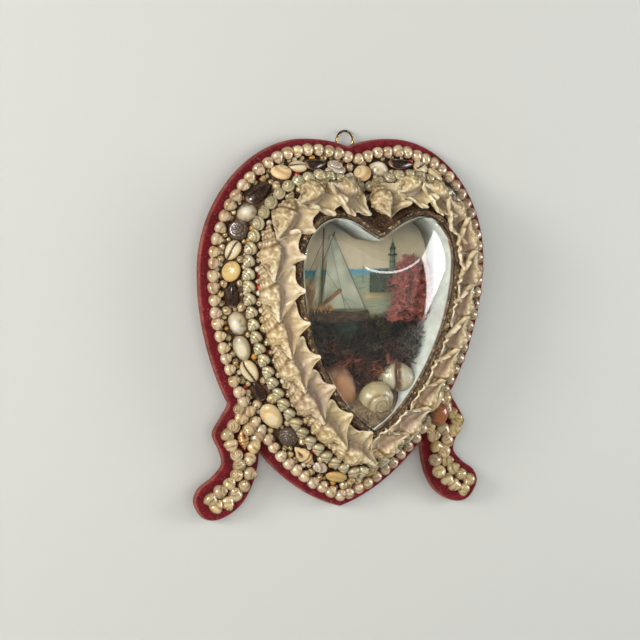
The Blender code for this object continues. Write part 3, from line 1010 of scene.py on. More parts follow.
@dataclass(frozen=True)
class CoiledShell(ShellForm):
    """A snail's shell that stands on its mouth: whorls wound up to an apex."""

    crown: Colour
    seam: Colour
    # The underside colour: painted shade on most shells; on the dark top shell it is a paler base.
    belly: Colour
    sides: int = 20
    rings: int = 14
    along: str = "Z"
    spire: float = 1.0
    round_off: float = 0.62
    growth: float = 1.7
    depth: float = 0.16
    taper: float = 2.2
    split: float = 0.62
    base: float = 0.72
    bands: int = 0
    band: Colour = (0, 0, 0)
    band_share: float = 0.8
    glow: Colour = (0, 0, 0)
    glow_share: float = 0.0
    seam_edge: float = 2.0

    def place(self, vertex: Vert) -> tuple[float, float]:
        """Wind a point round the shell.

        Args:
            vertex: The point of the ball.

        Returns:
            How high on its whorl and how far below the widest line it is.
        """
        angle = math.atan2(vertex.co.y, vertex.co.x)
        t = math.acos(max(-1.0, min(1.0, vertex.co.z))) / math.pi
        if t < self.split:
            reach = t / self.split
            height = self.spire * (1 - reach ** self.taper) ** self.round_off
        else:
            fall = (t - self.split) / (1 - self.split) * math.pi / 2
            reach = math.cos(fall)
            height = -self.base * math.sin(fall)
        whorl = math.log(max(reach, 0.06)) / math.log(self.growth) - angle / math.tau
        part = whorl - math.floor(whorl)
        fade = 1 - ramp(t, self.split, self.split + 0.12)
        bulge = 1 - (1 - min(part, 1 - part) * 2) ** 3 * fade
        step = 1 - self.depth * (1 - bulge)
        vertex.co = Vector((reach * math.cos(angle) * step, reach * math.sin(angle) * step, height * step))
        return bulge, max(0.0, -height)

    def hue(self, vertex: Vert, bulge: float, depth: float) -> Colour:
        """Return the colour at a point.

        Args:
            vertex: The point; it is not used.
            bulge: How high on its whorl it is.
            depth: How far below the widest line it is.

        Returns:
            The colour.
        """
        colour = blend(self.seam, self.crown, bulge ** self.seam_edge)
        if self.bands:
            line = max(0.0, math.sin(bulge * math.pi * self.bands)) ** 2
            colour = blend(colour, self.band, self.band_share * line)
        # Towards the top of each whorl the colour runs to the glow colour: a painted highlight on the pearly shells'
        # whorl crowns, and a warmer tone on the dark top shell.
        colour = blend(colour, self.glow, self.glow_share * ramp(bulge, 0.45, 0.9))
        # Below the widest line the colour runs to the underside colour: painted shade on the base side of most shells,
        # the paler base of the dark top shell.
        return blend(colour, self.belly, depth * 1.6)


@dataclass(frozen=True)
class Cowrie(ShellForm):
    """A cowrie lying on its back: an egg with a toothed slit, along x."""

    back: Colour
    lip: Colour
    # The slit colour: painted shade inside the slit and between the teeth.
    slit: Colour
    teeth: int = 11
    gape: float = 0.075
    sides: int = 40
    rings: int = 26

    def place(self, vertex: Vert) -> tuple[float, float, float]:
        """Move a point to the egg, its slit and its lips.

        Args:
            vertex: The point of the ball.

        Returns:
            How far in the slit, between the teeth and up the lip it is.
        """
        x, y, z = vertex.co
        reach = math.hypot(y, z)
        angle = math.atan2(y, z)
        angle -= 0.80 * math.sin(angle)
        y, z = reach * math.sin(angle), reach * math.cos(angle)
        off = y - 0.10 * math.sin(x * 2.2) * reach
        open_part = hump(off, self.gape + 0.03 * x) * ramp(z, 0.1, 0.4)
        lip_part = hump(abs(off) - 0.22, 0.14) * ramp(z, 0.1, 0.4)
        gap = 1 - crest(x * self.teeth * math.pi)
        z = z * (0.92 - 0.10 * lip_part * gap) - 0.42 * open_part * reach + 0.08 * lip_part
        vertex.co = Vector((x, y * (1 - 0.14 * x), z))
        return open_part, lip_part * gap, ramp(z, 0.25, 0.8)

    def hue(self, vertex: Vert, in_slit: float, in_gap: float, lip: float) -> Colour:
        """Return the colour at a point from how far in the slit, between teeth and up the lip it is."""
        # The slit and the gaps between the teeth take the slit colour: painted shade in the opening.
        return blend(blend(blend(self.back, self.lip, lip), self.slit, in_gap * 0.45), self.slit, in_slit * 1.3)


@dataclass(frozen=True)
class DomedShell(ShellForm):
    """A smooth closed back with rings of colour, along x."""

    rim: Colour
    ring: Colour
    middle: Colour
    taper: float = 0.12
    ring_place: float = 0.62
    ring_width: float = 0.12
    sides: int = 32

    def place(self, vertex: Vert) -> tuple:
        """Narrow the shell towards +x at a point."""
        vertex.co.y *= 1 - self.taper * vertex.co.x
        return ()

    def hue(self, vertex: Vert) -> Colour:
        """Return the colour at a point, by its distance from the crown.

        Args:
            vertex: The point.

        Returns:
            The colour.
        """
        out = math.hypot(vertex.co.x, vertex.co.y) + 0.05 * speckle(vertex.co, 0.35)
        colour = blend(self.middle, self.rim, ramp(out, self.ring_place - 0.05, self.ring_place + 0.1))
        near = hump(out - self.ring_place, self.ring_width) if vertex.co.z > 0 else 0
        return blend(colour, self.ring, near * ramp(speckle(vertex.co, 0.5, 6.0), -0.35, 0.1))


@dataclass(frozen=True)
class Mussel(ShellForm):
    """A dark closed mussel, beak at -x, with growth lines and a pale edge."""

    skin: Colour
    line: Colour
    edge: Colour
    rings: int = 24
    lines: float = 26

    def ring(self, vertex: Vert) -> float:
        """Return how near a point is to the top of a growth line."""
        return 0.5 + 0.5 * math.sin(vertex.co.x * self.lines + 3 * vertex.co.y)

    def place(self, vertex: Vert) -> tuple:
        """Move a point to the mussel: narrow at its beak, with growth lines.

        Args:
            vertex: The point of the ball.

        Returns:
            Nothing that the colour needs.
        """
        ring = self.ring(vertex)
        vertex.co.y *= (0.78 + 0.36 * vertex.co.x) * (1 + 0.02 * ring)
        vertex.co.z *= (1 + 0.05 * ring) * (1 - 0.25 * abs(vertex.co.y))
        return ()

    def hue(self, vertex: Vert) -> Colour:
        """Return the colour at a point: dark, lined across, pale at the edge."""
        colour = blend(self.skin, self.line, 0.6 * self.ring(vertex) ** 4 + 0.3 * speckle(vertex.co, 0.3))
        return blend(colour, self.edge, ramp(vertex.co.x, 0.78, 0.97) * 0.6 + 0.7 * (abs(vertex.co.z) < 0.1))


@dataclass(frozen=True)
class Limpet(ShellForm):
    """A ribbed cone with rays of colour, standing on its mouth."""

    ground: Colour
    ray: Colour
    crown: Colour
    ribs: int = 13
    sides: int = 36
    rings: int = 18
    along: str = "Z"

    def place(self, vertex: Vert) -> tuple:
        """Move a point to the ribbed cone.

        Args:
            vertex: The point of the ball.

        Returns:
            Nothing that the colour needs.
        """
        x, y, z = vertex.co
        out = math.hypot(x, y)
        angle = math.atan2(y, x)
        rib = crest(angle * self.ribs)
        grow = 1 + 0.04 * (rib - 0.5) * out + 0.012 * math.sin(out * 40) + 0.05 * math.sin(2 * angle)
        height = 0.0 if z < 0 else (1 - out ** 1.9) * 0.98 + 0.02
        vertex.co = Vector((x * grow + 0.08 * max(z, 0), y * grow, height))
        return ()

    def hue(self, vertex: Vert) -> Colour:
        """Return the colour at a point: rays between the ribs and a worn crown.

        Args:
            vertex: The point.

        Returns:
            The colour.
        """
        x, y, z = vertex.co
        rib = crest(math.atan2(y, x) * self.ribs)
        patch = ramp(speckle(vertex.co, 0.4, 3.0), -0.1, 0.5)
        return blend(blend(self.ground, self.ray, (0.35 + 0.5 * (1 - rib)) * patch), self.crown, ramp(z, 0.6, 0.95))


@dataclass(frozen=True)
class Whelk(ShellForm):
    """A pointed whelk along x, spire at +x, mouth upward at -x."""

    crown: Colour
    seam: Colour
    mouth: Colour
    profile: tuple[Point2, ...] = (
        (-1.0, 0.12), (-0.72, 0.42), (-0.30, 0.86), (0.0, 1.0), (0.25, 0.86), (0.6, 0.45), (0.85, 0.2), (1.0, 0.04),
    )
    rings: int = 40

    def place(self, vertex: Vert) -> tuple[float, float]:
        """Wind a point round the whelk.

        Args:
            vertex: The point of the ball.

        Returns:
            How high on its whorl and how far in the mouth it is.
        """
        angle = math.atan2(vertex.co.z, vertex.co.y)
        x = math.asin(max(-1.0, min(1.0, vertex.co.x))) / (math.pi / 2)
        radius = stations(self.profile, x)[0]
        whorl = math.log(max(1.06 - x, 0.02)) / math.log(1.55) + angle / math.tau
        part = whorl - math.floor(whorl)
        bulge = 1 - (1 - min(part, 1 - part) * 2) ** 3 * ramp(x, -0.3, 0.0)
        mouth = math.exp(-(((angle - math.pi / 2) / 0.35) ** 2 + ((x + 0.42) / 0.28) ** 2))
        radius *= (1 - 0.2 * (1 - bulge)) * (1 - 0.4 * mouth)
        vertex.co = Vector((x, radius * math.cos(angle), radius * math.sin(angle)))
        return bulge, mouth

    def hue(self, vertex: Vert, bulge: float, mouth: float) -> Colour:
        """Return the colour at a point from how high on its whorl and far in the mouth it is."""
        return blend(blend(self.seam, self.crown, bulge ** 2), self.mouth, mouth * 1.5)


@dataclass(frozen=True)
class PelicanFoot:
    """A pelican's foot shell, spire at -x and its winged lip towards +y, in millimetres."""

    body: Colour = paint(193, 171, 127)
    rib: Colour = paint(232, 220, 190)
    shade: Colour = paint(112, 81, 46)
    slit: Colour = paint(146, 120, 96)
    lilac: Colour = paint(158, 144, 128)
    scoop: Colour = paint(180, 160, 126)
    rim: Colour = paint(228, 214, 186)
    sections: tuple[Point3, ...] = (
        (-22, 0.5, 3.6), (-19, 1.5, 3.9), (-15, 3.1, 4.4), (-11, 4.7, 5.2), (-8, 6.1, 6.0), (-4, 7.8, 6.9),
        (0, 8.2, 7.4), (3, 7.3, 7.6), (7, 4.9, 8.2), (11, 2.8, 10.0), (14, 1.7, 11.6), (17, 0.9, 12.9),
    )
    outer_edge: tuple[Point3, ...] = (
        (-15, 3.0, 6.4), (-14.2, 8.5, 5.2), (-13.8, 14.0, 4.2), (-13.4, 20.0, 3.0), (-10.2, 20.2, 3.0),
        (-6.5, 18.4, 3.1), (-3.0, 17.4, 3.3), (0.6, 18.0, 3.7), (3.6, 21.4, 4.2), (6.0, 20.4, 4.8),
        (6.8, 16.6, 5.6), (8.4, 12.0, 7.2), (10.8, 7.8, 9.0), (13.6, 4.2, 10.8), (17, 0.9, 12.8),
    )
    inner_edge: tuple[Point3, ...] = (
        (-13, 1.5, 6.5), (-9, 4.2, 6.0), (-5, 6.0, 4.8), (0, 6.2, 4.2), (4, 5.0, 4.8), (8, 3.6, 6.4),
        (12, 1.8, 9.0), (17, 0.2, 12.6),
    )
    knob_lines: tuple[Point2, ...] = ((-3.4, 1.25), (0.8, 0.8), (4.6, 0.45))
    tips: tuple[int, int] = (3, 8)
    cross: int = 16
    length: int = 84
    lip: float = 1.1

    def build(self, name: str) -> bpy.types.Mesh:
        """Build the shell's mesh from its spindle and its wing.

        Args:
            name: The mesh's name.

        Returns:
            The new mesh.
        """
        shape = tinted_shape()
        spindle = ball(52, 76, "X")
        reform(spindle, self.place, self.hue)
        shape.from_mesh(to_mesh(spindle, name + "_spindle"))
        shape.from_mesh(to_mesh(self.wing(), name + "_wing"))
        return to_mesh(shape, name)

    def place(self, vertex: Vert) -> Point3:
        """Move a point to the knobbed body and its banded spire.

        Args:
            vertex: The point of the ball.

        Returns:
            How far in a groove, up a knob and in the mouth it is.
        """
        angle = math.atan2(vertex.co.z, vertex.co.y)
        part = math.asin(max(-1.0, min(1.0, vertex.co.x))) / math.pi + 0.5
        first, last = self.sections[0][0], self.sections[-1][0]
        x = first + (last - first) * part
        radius, axis = stations(self.sections, x)
        whorl = math.log(max((x + 25) / 25, 0.1)) / math.log(1.42) - angle / math.tau
        step = whorl - math.floor(whorl)
        spire = 1 - ramp(x, -5, 0)
        groove = (1 - min(step, 1 - step) * 2) ** 4 * spire
        row = hump(step - 0.55, 0.2) * spire * 0.9
        for line, share in self.knob_lines:
            row = max(row, (1 - spire) * hump(x - line, 1.1) * share)
        luck = speckle(Vector((x, 8 * math.cos(angle), 8 * math.sin(angle))), 5.0, 2.0)
        knob = crest(angle * (14 if x < -4.4 else 9) + x * 0.6 + 1.5 * luck) ** 2
        spot = Vector((x, radius * math.cos(angle), radius * math.sin(angle)))
        rough = speckle(Vector((x * 0.5, spot.y, spot.z)), 2.0, 8.0) + 0.6 * speckle(spot, 1.2, 3.0)
        lift = 0.95 * row * (0.15 + knob) * (0.7 + 1.3 * luck) - 0.6 * groove + 0.25 * rough
        lift += 0.10 * math.sin(x * 5.5) * ramp(x, -15, -8)
        lift += 0.16 * math.cos(angle * 19 + 2.5 * luck) * ramp(x, -3, 2) * (1 - ramp(x, 11, 16))
        mouth = hump(angle - 0.12, 0.34) * ramp(x, -7, -2) * (1 - ramp(x, 11, 16))
        radius = max(radius + lift * min(radius / 4, 1.0) - 1.5 * mouth * min(radius / 5, 1), 0.2)
        vertex.co = Vector((x, radius * math.cos(angle), axis + radius * math.sin(angle)))
        return groove, row * knob + 0.7 * rough, mouth

    def hue(self, vertex: Vert, groove: float, knob: float, mouth: float) -> Colour:
        """Return the body's colour at a point.

        Args:
            vertex: The point.
            groove: How far in a groove it is.
            knob: How far up a knob it is.
            mouth: How far in the mouth it is.

        Returns:
            The colour.
        """
        worn = 0.5 + 0.5 * speckle(vertex.co, 6.0)
        # The shade colour is painted shade: it darkens the hollows between the knobs (with random patches too), the
        # grooves and the side towards the ground; the slit colour is painted shade in the deepest part of the mouth.
        colour = blend(self.shade, self.body, 0.16 + 0.9 * worn + 0.85 * knob)
        colour = blend(colour, self.rib, knob * 1.1 + 0.5 * ramp(vertex.co.x, 4, 12))
        colour = blend(colour, self.shade, groove * 0.8)
        colour = blend(colour, self.shade, 0.75 * (1 - ramp(vertex.co.z, 0.5, 6.5)))
        return blend(blend(colour, self.lilac, ramp(mouth, 0.08, 0.3)), self.slit, ramp(mouth, 0.45, 0.85))

    def wing(self) -> Shape:
        """Build the flared lip: a scooped sheet drawn out in fingers.

        Returns:
            The wing's shape.
        """
        shape = bmesh.new()
        inner, outer = (
            smooth_line([edge[0], *edge, edge[-1]], 8) for edge in (self.inner_edge, self.outer_edge)
        )
        fingers = [tip / (len(self.outer_edge) - 1) for tip in self.tips]
        marks = []
        for vertex, u, v in sheet(shape, self.length, self.cross):
            first = Vector(inner[round(u * (len(inner) - 1))])
            last = Vector(outer[round(u * (len(outer) - 1))])
            place = first.lerp(last, v)
            near = max(hump(u - finger, 0.045) for finger in fingers)
            fold = math.cos(math.tau * (u * 5.2 + 0.3 * math.sin(4 * v)))
            sag = -1.5 * math.sin(math.pi * v ** 0.6) * (1 - 0.5 * near)
            ridge = (1.5 * near + 0.35 * fold) * ramp(v, 0.3, 0.7)
            edge = 0.9 * ramp(v, 0.84, 1.0) * (1 - near)
            rough = (speckle(place, 2.6, 4.0) * 0.7 + speckle(place, 1.2, 9.0) * 0.45) * ramp(v, 0.25, 0.6)
            place.y += 0.7 * speckle(place, 1.8, 6.0) * ramp(v, 0.8, 1.0)
            place.z += sag + ridge + edge + rough
            vertex.co = place
            marks.append((v, max(near, 0.5 + 0.5 * fold - 0.3) + 0.5 * rough))
        tint_in_order(shape, marks, self.lip_hue)
        bmesh.ops.solidify(shape, geom=shape.faces[:], thickness=self.lip)
        return shape

    def lip_hue(self, vertex: Vert, out: float, finger: float) -> Colour:
        """Return the lip's colour at a point.

        Args:
            vertex: The point.
            out: How far out from the body it is.
            finger: How near a finger's ridge it is.

        Returns:
            The colour.
        """
        worn = ramp(speckle(vertex.co, 2.8, 5.0), -0.3, 0.5)
        colour = blend(self.lilac, self.scoop, ramp(out, 0.14, 0.34))
        colour = blend(colour, self.rim, ramp(finger, 0.1, 0.9) * ramp(out, 0.3, 0.6) + 0.6 * ramp(out, 0.7, 0.95))
        colour = blend(colour, self.body, 0.6 * worn * ramp(out, 0.4, 0.8))
        return blend(colour, self.shade, 0.6 * ramp(out, 0.88, 1.0) * worn * (1 - finger))


class Spots:
    """The places already taken by shells, kept in a coarse lattice."""

    def __init__(self, cell: float = 9 * MM):
        """Start an empty lattice with cells of a size."""
        self.cell = cell
        self.taken: dict[tuple[int, int, int], list[tuple[Vector, float]]] = {}

    def key(self, place: Vector) -> tuple[int, int, int]:
        """Return the lattice cell of a place."""
        return tuple(math.floor(c / self.cell) for c in place)

    def add(self, place: Vector, radius: float) -> None:
        """Take a place."""
        self.taken.setdefault(self.key(place), []).append((place.copy(), radius))

    def free(self, place: Vector, radius: float) -> bool:
        """Tell whether a ball fits.

        Args:
            place: Its middle.
            radius: Its radius.

        Returns:
            Whether no taken place is too near.
        """
        x, y, z = self.key(place)
        step = (-1, 0, 1)
        return not any(
            (other - place).length < reach + radius
            for i in step for j in step for k in step
            for other, reach in self.taken.get((x + i, y + j, z + k), ())
        )


# ---- The board, the ground and the hanger ----------------------------------------------


@dataclass
class Assembly:
    """A sub-assembly of the valentine, with what all of them share."""

    hearts: HeartFamily
    maker: Maker
    spots: Spots

    def build(self) -> None:
        """Build the sub-assembly's pieces."""
        raise NotImplementedError


@dataclass
class Backing(Assembly):
    """The velvet-covered board with its two scrolled feet, in millimetres from the centre."""

    thickness: float = 5.0
    edge_round: float = 1.5
    foot_top: float = 2.40
    foot_crotch: float = 2.62
    upper_steps: int = 60
    lower_steps: int = 16
    foot: tuple[Point2, ...] = (
        (87.4, -47.5), (92.5, -56), (98.3, -66.5), (93, -78), (91, -87), (98, -95), (108, -101.8),
        (111.2, -111), (104, -121.6), (92, -122.8), (78, -115.5), (69, -103), (64.5, -88),
    )
    pile: Colour = paint(106, 27, 34)
    worn: Colour = paint(132, 80, 68)

    def stretch_of(self, first: float, last: float, steps: int) -> list[Point2]:
        """Return the board's right edge between two places, in a number of steps."""
        places = (first + (last - first) * i / steps for i in range(steps + 1))
        return [self.hearts.half_point(self.hearts.board, place) for place in places]

    def outline(self) -> list[Vector]:
        """Trace the board.

        Returns:
            The whole outline at the board's back.
        """
        upper = self.stretch_of(0.0, self.foot_top, self.upper_steps)
        lower = self.stretch_of(self.foot_crotch, self.hearts.last_place, self.lower_steps)
        foot = smooth_line([upper[-4], upper[-1], *self.foot, lower[0], lower[3]], steps=6)
        half = upper[:-1] + foot + lower[1:]
        whole = half + [(-x, z) for x, z in reversed(half[1:-1])]
        return [self.hearts.at(x, z, 0) for x, z in whole]

    def build(self) -> None:
        """Build the board."""
        line = self.outline()
        inward = []
        for i, point in enumerate(line):
            along = line[(i + 1) % len(line)] - line[i - 1]
            inward.append(Vector((0, 1, 0)).cross(along).normalized())
        quarter = [math.radians(15 * i) for i in range(7)]
        walk = [(self.edge_round * (1 - math.sin(a)), self.edge_round * (1 - math.cos(a))) for a in quarter]
        walk += [(inset, self.thickness - depth) for inset, depth in reversed(walk)]
        walk += [(self.edge_round + more, self.thickness) for more in (0.5, 1.3, 2.6, 4.2)]
        sections = [
            [point + way * inset * MM - Vector((0, depth * MM, 0)) for point, way in zip(line, inward)]
            for inset, depth in walk
        ]
        shape = bmesh.new()
        skin(shape, sections, closed=False, capped=True)
        bmesh.ops.triangulate(shape, faces=[f for f in shape.faces if len(f.verts) > 4])
        tint(shape, self.hue)
        self.maker.piece(shape, "velvet_board_cover", "crimson_velvet", "crimson_velvet", "velvet_board")

    def hue(self, vertex: Vert) -> Colour:
        """Return the velvet's colour: rubbed brown round its edge, deep behind the shells.

        Args:
            vertex: The point.

        Returns:
            The colour.
        """
        depth = -vertex.co.y / MM
        rub = ramp(depth, 0.1, 0.9) * (1 - ramp(depth, 4.3, 4.99))
        patch = 0.80 + 0.7 * speckle(vertex.co, 14 * MM)
        return blend(self.pile, self.worn, rub * patch)


@dataclass
class Ground(Assembly):
    """The brown ground that climbs to the glass, and the pale wall inside it."""

    half_count: int = 150
    slope_start: float = 0.205
    slope_steps: int = 30
    foot_drop: float = 0.8 * MM
    top_shares: tuple[float, ...] = (0.93, 0.955, 0.98, 1.01)
    wall_share: float = 1.04
    wall_top: float = 43.9 * MM
    lining: float = 0.012
    lining_gap: float = 0.001
    lining_count: int = 90

    def build(self) -> None:
        """Build the ground and the lining."""
        hearts = self.hearts
        rise = hearts.top_share - self.slope_start
        slope = [self.slope_start + rise * i / self.slope_steps for i in range(self.slope_steps + 1)]
        sections = [self.section(share, self.height(share)) for share in slope]
        sections += [self.section(share, hearts.top_height) for share in self.top_shares]
        sections += [
            hearts.loop(self.wall_share, height, self.half_count) for height in (self.wall_top, hearts.foot_height)
        ]
        shape = bmesh.new()
        skin(shape, sections, closed=True)
        self.maker.piece(shape, "gum_ground", "brown_ground", "brown_ground", "shell_bed")

        near, inner = self.wall_share + self.lining_gap, self.wall_share + self.lining
        walk = ((near, 44.0), (inner, 43.8), (inner, 16.6), (near, 16.6))
        shape = bmesh.new()
        skin(shape, [hearts.loop(share, height * MM, self.lining_count) for share, height in walk], closed=True)
        self.maker.piece(shape, "pale_lining", "limed_card", "painted_card")

    def height(self, share: float) -> float:
        """Return the ground's height, eased down to the velvet at its foot."""
        foot = self.hearts.foot_share
        return self.hearts.ground(max(share, foot)) - self.foot_drop * (share < foot)

    def section(self, share: float, height: float) -> list[Vector]:
        """Lay one uneven loop of the ground.

        Args:
            share: How far from the board's edge to the glass edge.
            height: Metres forward from the board's back.

        Returns:
            The loop's points.
        """
        loop = self.hearts.loop(share, height, self.half_count)
        for point in loop:
            lump = 0.7 * speckle(point, 5 * MM) + 0.5 * speckle(point, 2.2 * MM, 7.0)
            point.y += (0.25 + 0.75 * lump) * 0.9 * MM
        return loop


@dataclass
class Hanger(Assembly):
    """The brass ring behind the notch and the strap that holds it, in millimetres."""

    wire: float = 1.6
    inner_radius: float = 5.6
    outer_top: float = 1.22
    behind: float = 0.95
    steps: int = 72
    joint_at: float = 2.2

    def build(self) -> None:
        """Build the ring with its pinched joint and dress the strap."""
        radius, thick = self.inner_radius + self.wire / 2, self.wire / 2
        line, radii = [], []
        for i in range(self.steps):
            angle = math.tau * i / self.steps
            height = radius * (math.cos(angle) - 1) + self.outer_top - thick
            line.append(Vector((radius * math.sin(angle), self.behind, height)) * MM)
            joint = hump(angle - self.joint_at, 0.09)
            radii.append(thick * (0.97 + 0.03 * math.sin(angle * 9) - 0.12 * joint) * MM)
        shape = bmesh.new()
        tube(shape, line, radii, 14, closed=True)
        self.maker.piece(shape, "brass_ring", "aged_brass", "brass", "hanging_ring")
        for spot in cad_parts["ring_strap"].material_slots:
            spot.material = self.maker.finishes["aged_brass"]


# ---- The rows of shells ----------------------------------------------------------------


@dataclass
class PearlRows(Assembly):
    """The outer row of round pearly shells and the inner row of greenish coiled ones."""

    radius: float = 4.4
    outer_share: float = 0.13
    outer_count: int = 88
    inner_share: float = 0.53
    inner_count: int = 72
    gap: float = 0.3
    cream: CoiledShell = CoiledShell(
        paint(204, 178, 142), paint(150, 108, 70), paint(184, 150, 112), rings=16, spire=1.25, growth=1.8,
        depth=0.06, taper=1.7, round_off=0.72, glow=paint(222, 208, 184), glow_share=0.5, seam_edge=0.8,
    )
    green: CoiledShell = CoiledShell(
        paint(194, 168, 128), paint(140, 107, 70), paint(150, 116, 76), 22, 22, spire=1.35, growth=1.46,
        depth=0.14, taper=1.4, round_off=0.75, glow=paint(208, 218, 190), glow_share=0.5, seam_edge=1.5,
    )
    right_inset: float = 1.2

    def build(self) -> None:
        """Build both rows."""
        self.lay("outer", self.outer_share, self.outer_count, self.cream, "cream_pearl", self.outer_pose, 11)
        self.lay("inner", self.inner_share, self.inner_count, self.green, "green_pearl", self.inner_pose, 12)

    def outer_pose(self, way: float, luck: random.Random) -> Matrix:
        """Return how an outer shell lies: its coil towards the glass."""
        tip = turn(luck.uniform(-26, 26), "Z") @ turn(-luck.uniform(36, 66), "X")
        return tip @ turn(luck.uniform(0, 360), "Z") @ stretch(0.97, 0.97, 1.02)

    def inner_pose(self, way: float, luck: random.Random) -> Matrix:
        """Return how an inner shell stands: upright at the notch, lying along the sides.

        Args:
            way: Its share of the way round the heart.
            luck: The row's random numbers.

        Returns:
            Its pose on its seat.
        """
        side = 1 if way < 0.5 else -1
        down = ramp(min(way, 1 - way) * 2, 0.14, 0.42)
        lean = side * (8 + 40 * down + luck.uniform(-6, 6))
        heading = turn(-side * 38 * down + luck.uniform(-9, 9), "Z")
        flat = stretch(1.06, 1.06, 0.66 + 0.34 * down)
        return heading @ turn(lean, "Y") @ turn(luck.uniform(-60, 60), "Z") @ flat

    def lay(
        self, label: str, share: float, count: int, coil: CoiledShell, finish: str,
        pose: Callable[[float, random.Random], Matrix], seed: int,
    ) -> None:
        """Lay one row of shells right round the heart.

        Args:
            label: The row's name.
            share: How far from the board's edge to the glass edge.
            count: How many shells it has.
            coil: The shell that it repeats.
            finish: The shells' finish.
            pose: Gives how a shell lies on its seat.
            seed: The seed of its random numbers.
        """
        luck = random.Random(seed)
        row = Row(self.hearts, share, (self.radius + self.gap) * MM)
        master = coil.build(label + "_pearls_one")
        shape = tinted_shape()
        for i in range(count):
            way = (i + 0.5) / count
            size = self.radius * MM * luck.uniform(0.93, 1.03)
            inset = self.right_inset * (way > 0.5) * (share < self.hearts.foot_share) + luck.uniform(-0.3, 0.3)
            seat = row.seat(way * row.length + luck.uniform(-0.3, 0.3) * MM, self.radius * MM, inset * MM)
            light = luck.uniform(0.86, 1.08)
            hue = (light, light * luck.uniform(0.95, 1.0), light * luck.uniform(0.88, 1.0))
            lie = seat @ pose(way, luck) @ Matrix.Scale(size, 4)
            add_copy(shape, master, lie, hue, seat @ shift(0, 0, -self.radius * MM), self.radius * MM)
            self.spots.add(seat.translation, size)
        self.maker.piece(shape, label + "_pearls", finish, finish, label + "_pearl_row")


class Kind(Enum):
    """The kinds of single shell in the middle row."""

    PEARL = "pearl_shell"
    MUSSEL = "mussel"
    COWRIE = "cowrie"
    ROUND = "round_shell"
    LIMPET = "limpet"
    TOP = "top_shell"
    YELLOW = "yellow_shell"
    OVAL = "oval_shell"
    RINGED = "ringed_cowrie"
    WHELK = "whelk"


Entry = tuple[Kind, float, float, float, float, float]

SHELL_FORMS = {
    Kind.PEARL: (CoiledShell(paint(226, 216, 204), paint(150, 122, 104), paint(150, 120, 90), 30, 20), "cream_pearl"),
    Kind.MUSSEL: (Mussel(paint(30, 21, 18), paint(82, 58, 46), paint(176, 146, 124)), "dark_shell"),
    Kind.COWRIE: (Cowrie(paint(192, 168, 130), paint(216, 201, 172), paint(70, 46, 28), gape=0.12), "porcelain_shell"),
    Kind.ROUND: (CoiledShell(paint(226, 206, 168), paint(190, 150, 104), paint(170, 130, 86), 30, 20, growth=2.2,
                             spire=0.8, depth=0.08), "porcelain_shell"),
    Kind.LIMPET: (Limpet(paint(190, 178, 152), paint(116, 100, 78), paint(212, 204, 186), 9), "porcelain_shell"),
    Kind.TOP: (CoiledShell(paint(84, 74, 64), paint(34, 27, 24), paint(150, 118, 100), 44, 40, spire=1.1, growth=1.9,
                           bands=2, band=paint(170, 160, 144), glow=paint(96, 60, 44), glow_share=0.2), "dark_shell"),
    Kind.YELLOW: (CoiledShell(paint(198, 172, 116), paint(176, 138, 84), paint(180, 138, 84), 30, 20, growth=2.6,
                              spire=0.7, depth=0.04, seam_edge=0.8), "porcelain_shell"),
    Kind.OVAL: (DomedShell(paint(156, 142, 116), paint(180, 168, 142), paint(204, 194, 172)), "porcelain_shell"),
    Kind.RINGED: (DomedShell(paint(186, 168, 132), paint(198, 140, 62), paint(206, 192, 160), ring_width=0.06),
                  "porcelain_shell"),
    Kind.WHELK: (Whelk(paint(206, 178, 136), paint(140, 96, 58), paint(88, 54, 36)), "chalky_shell"),
}


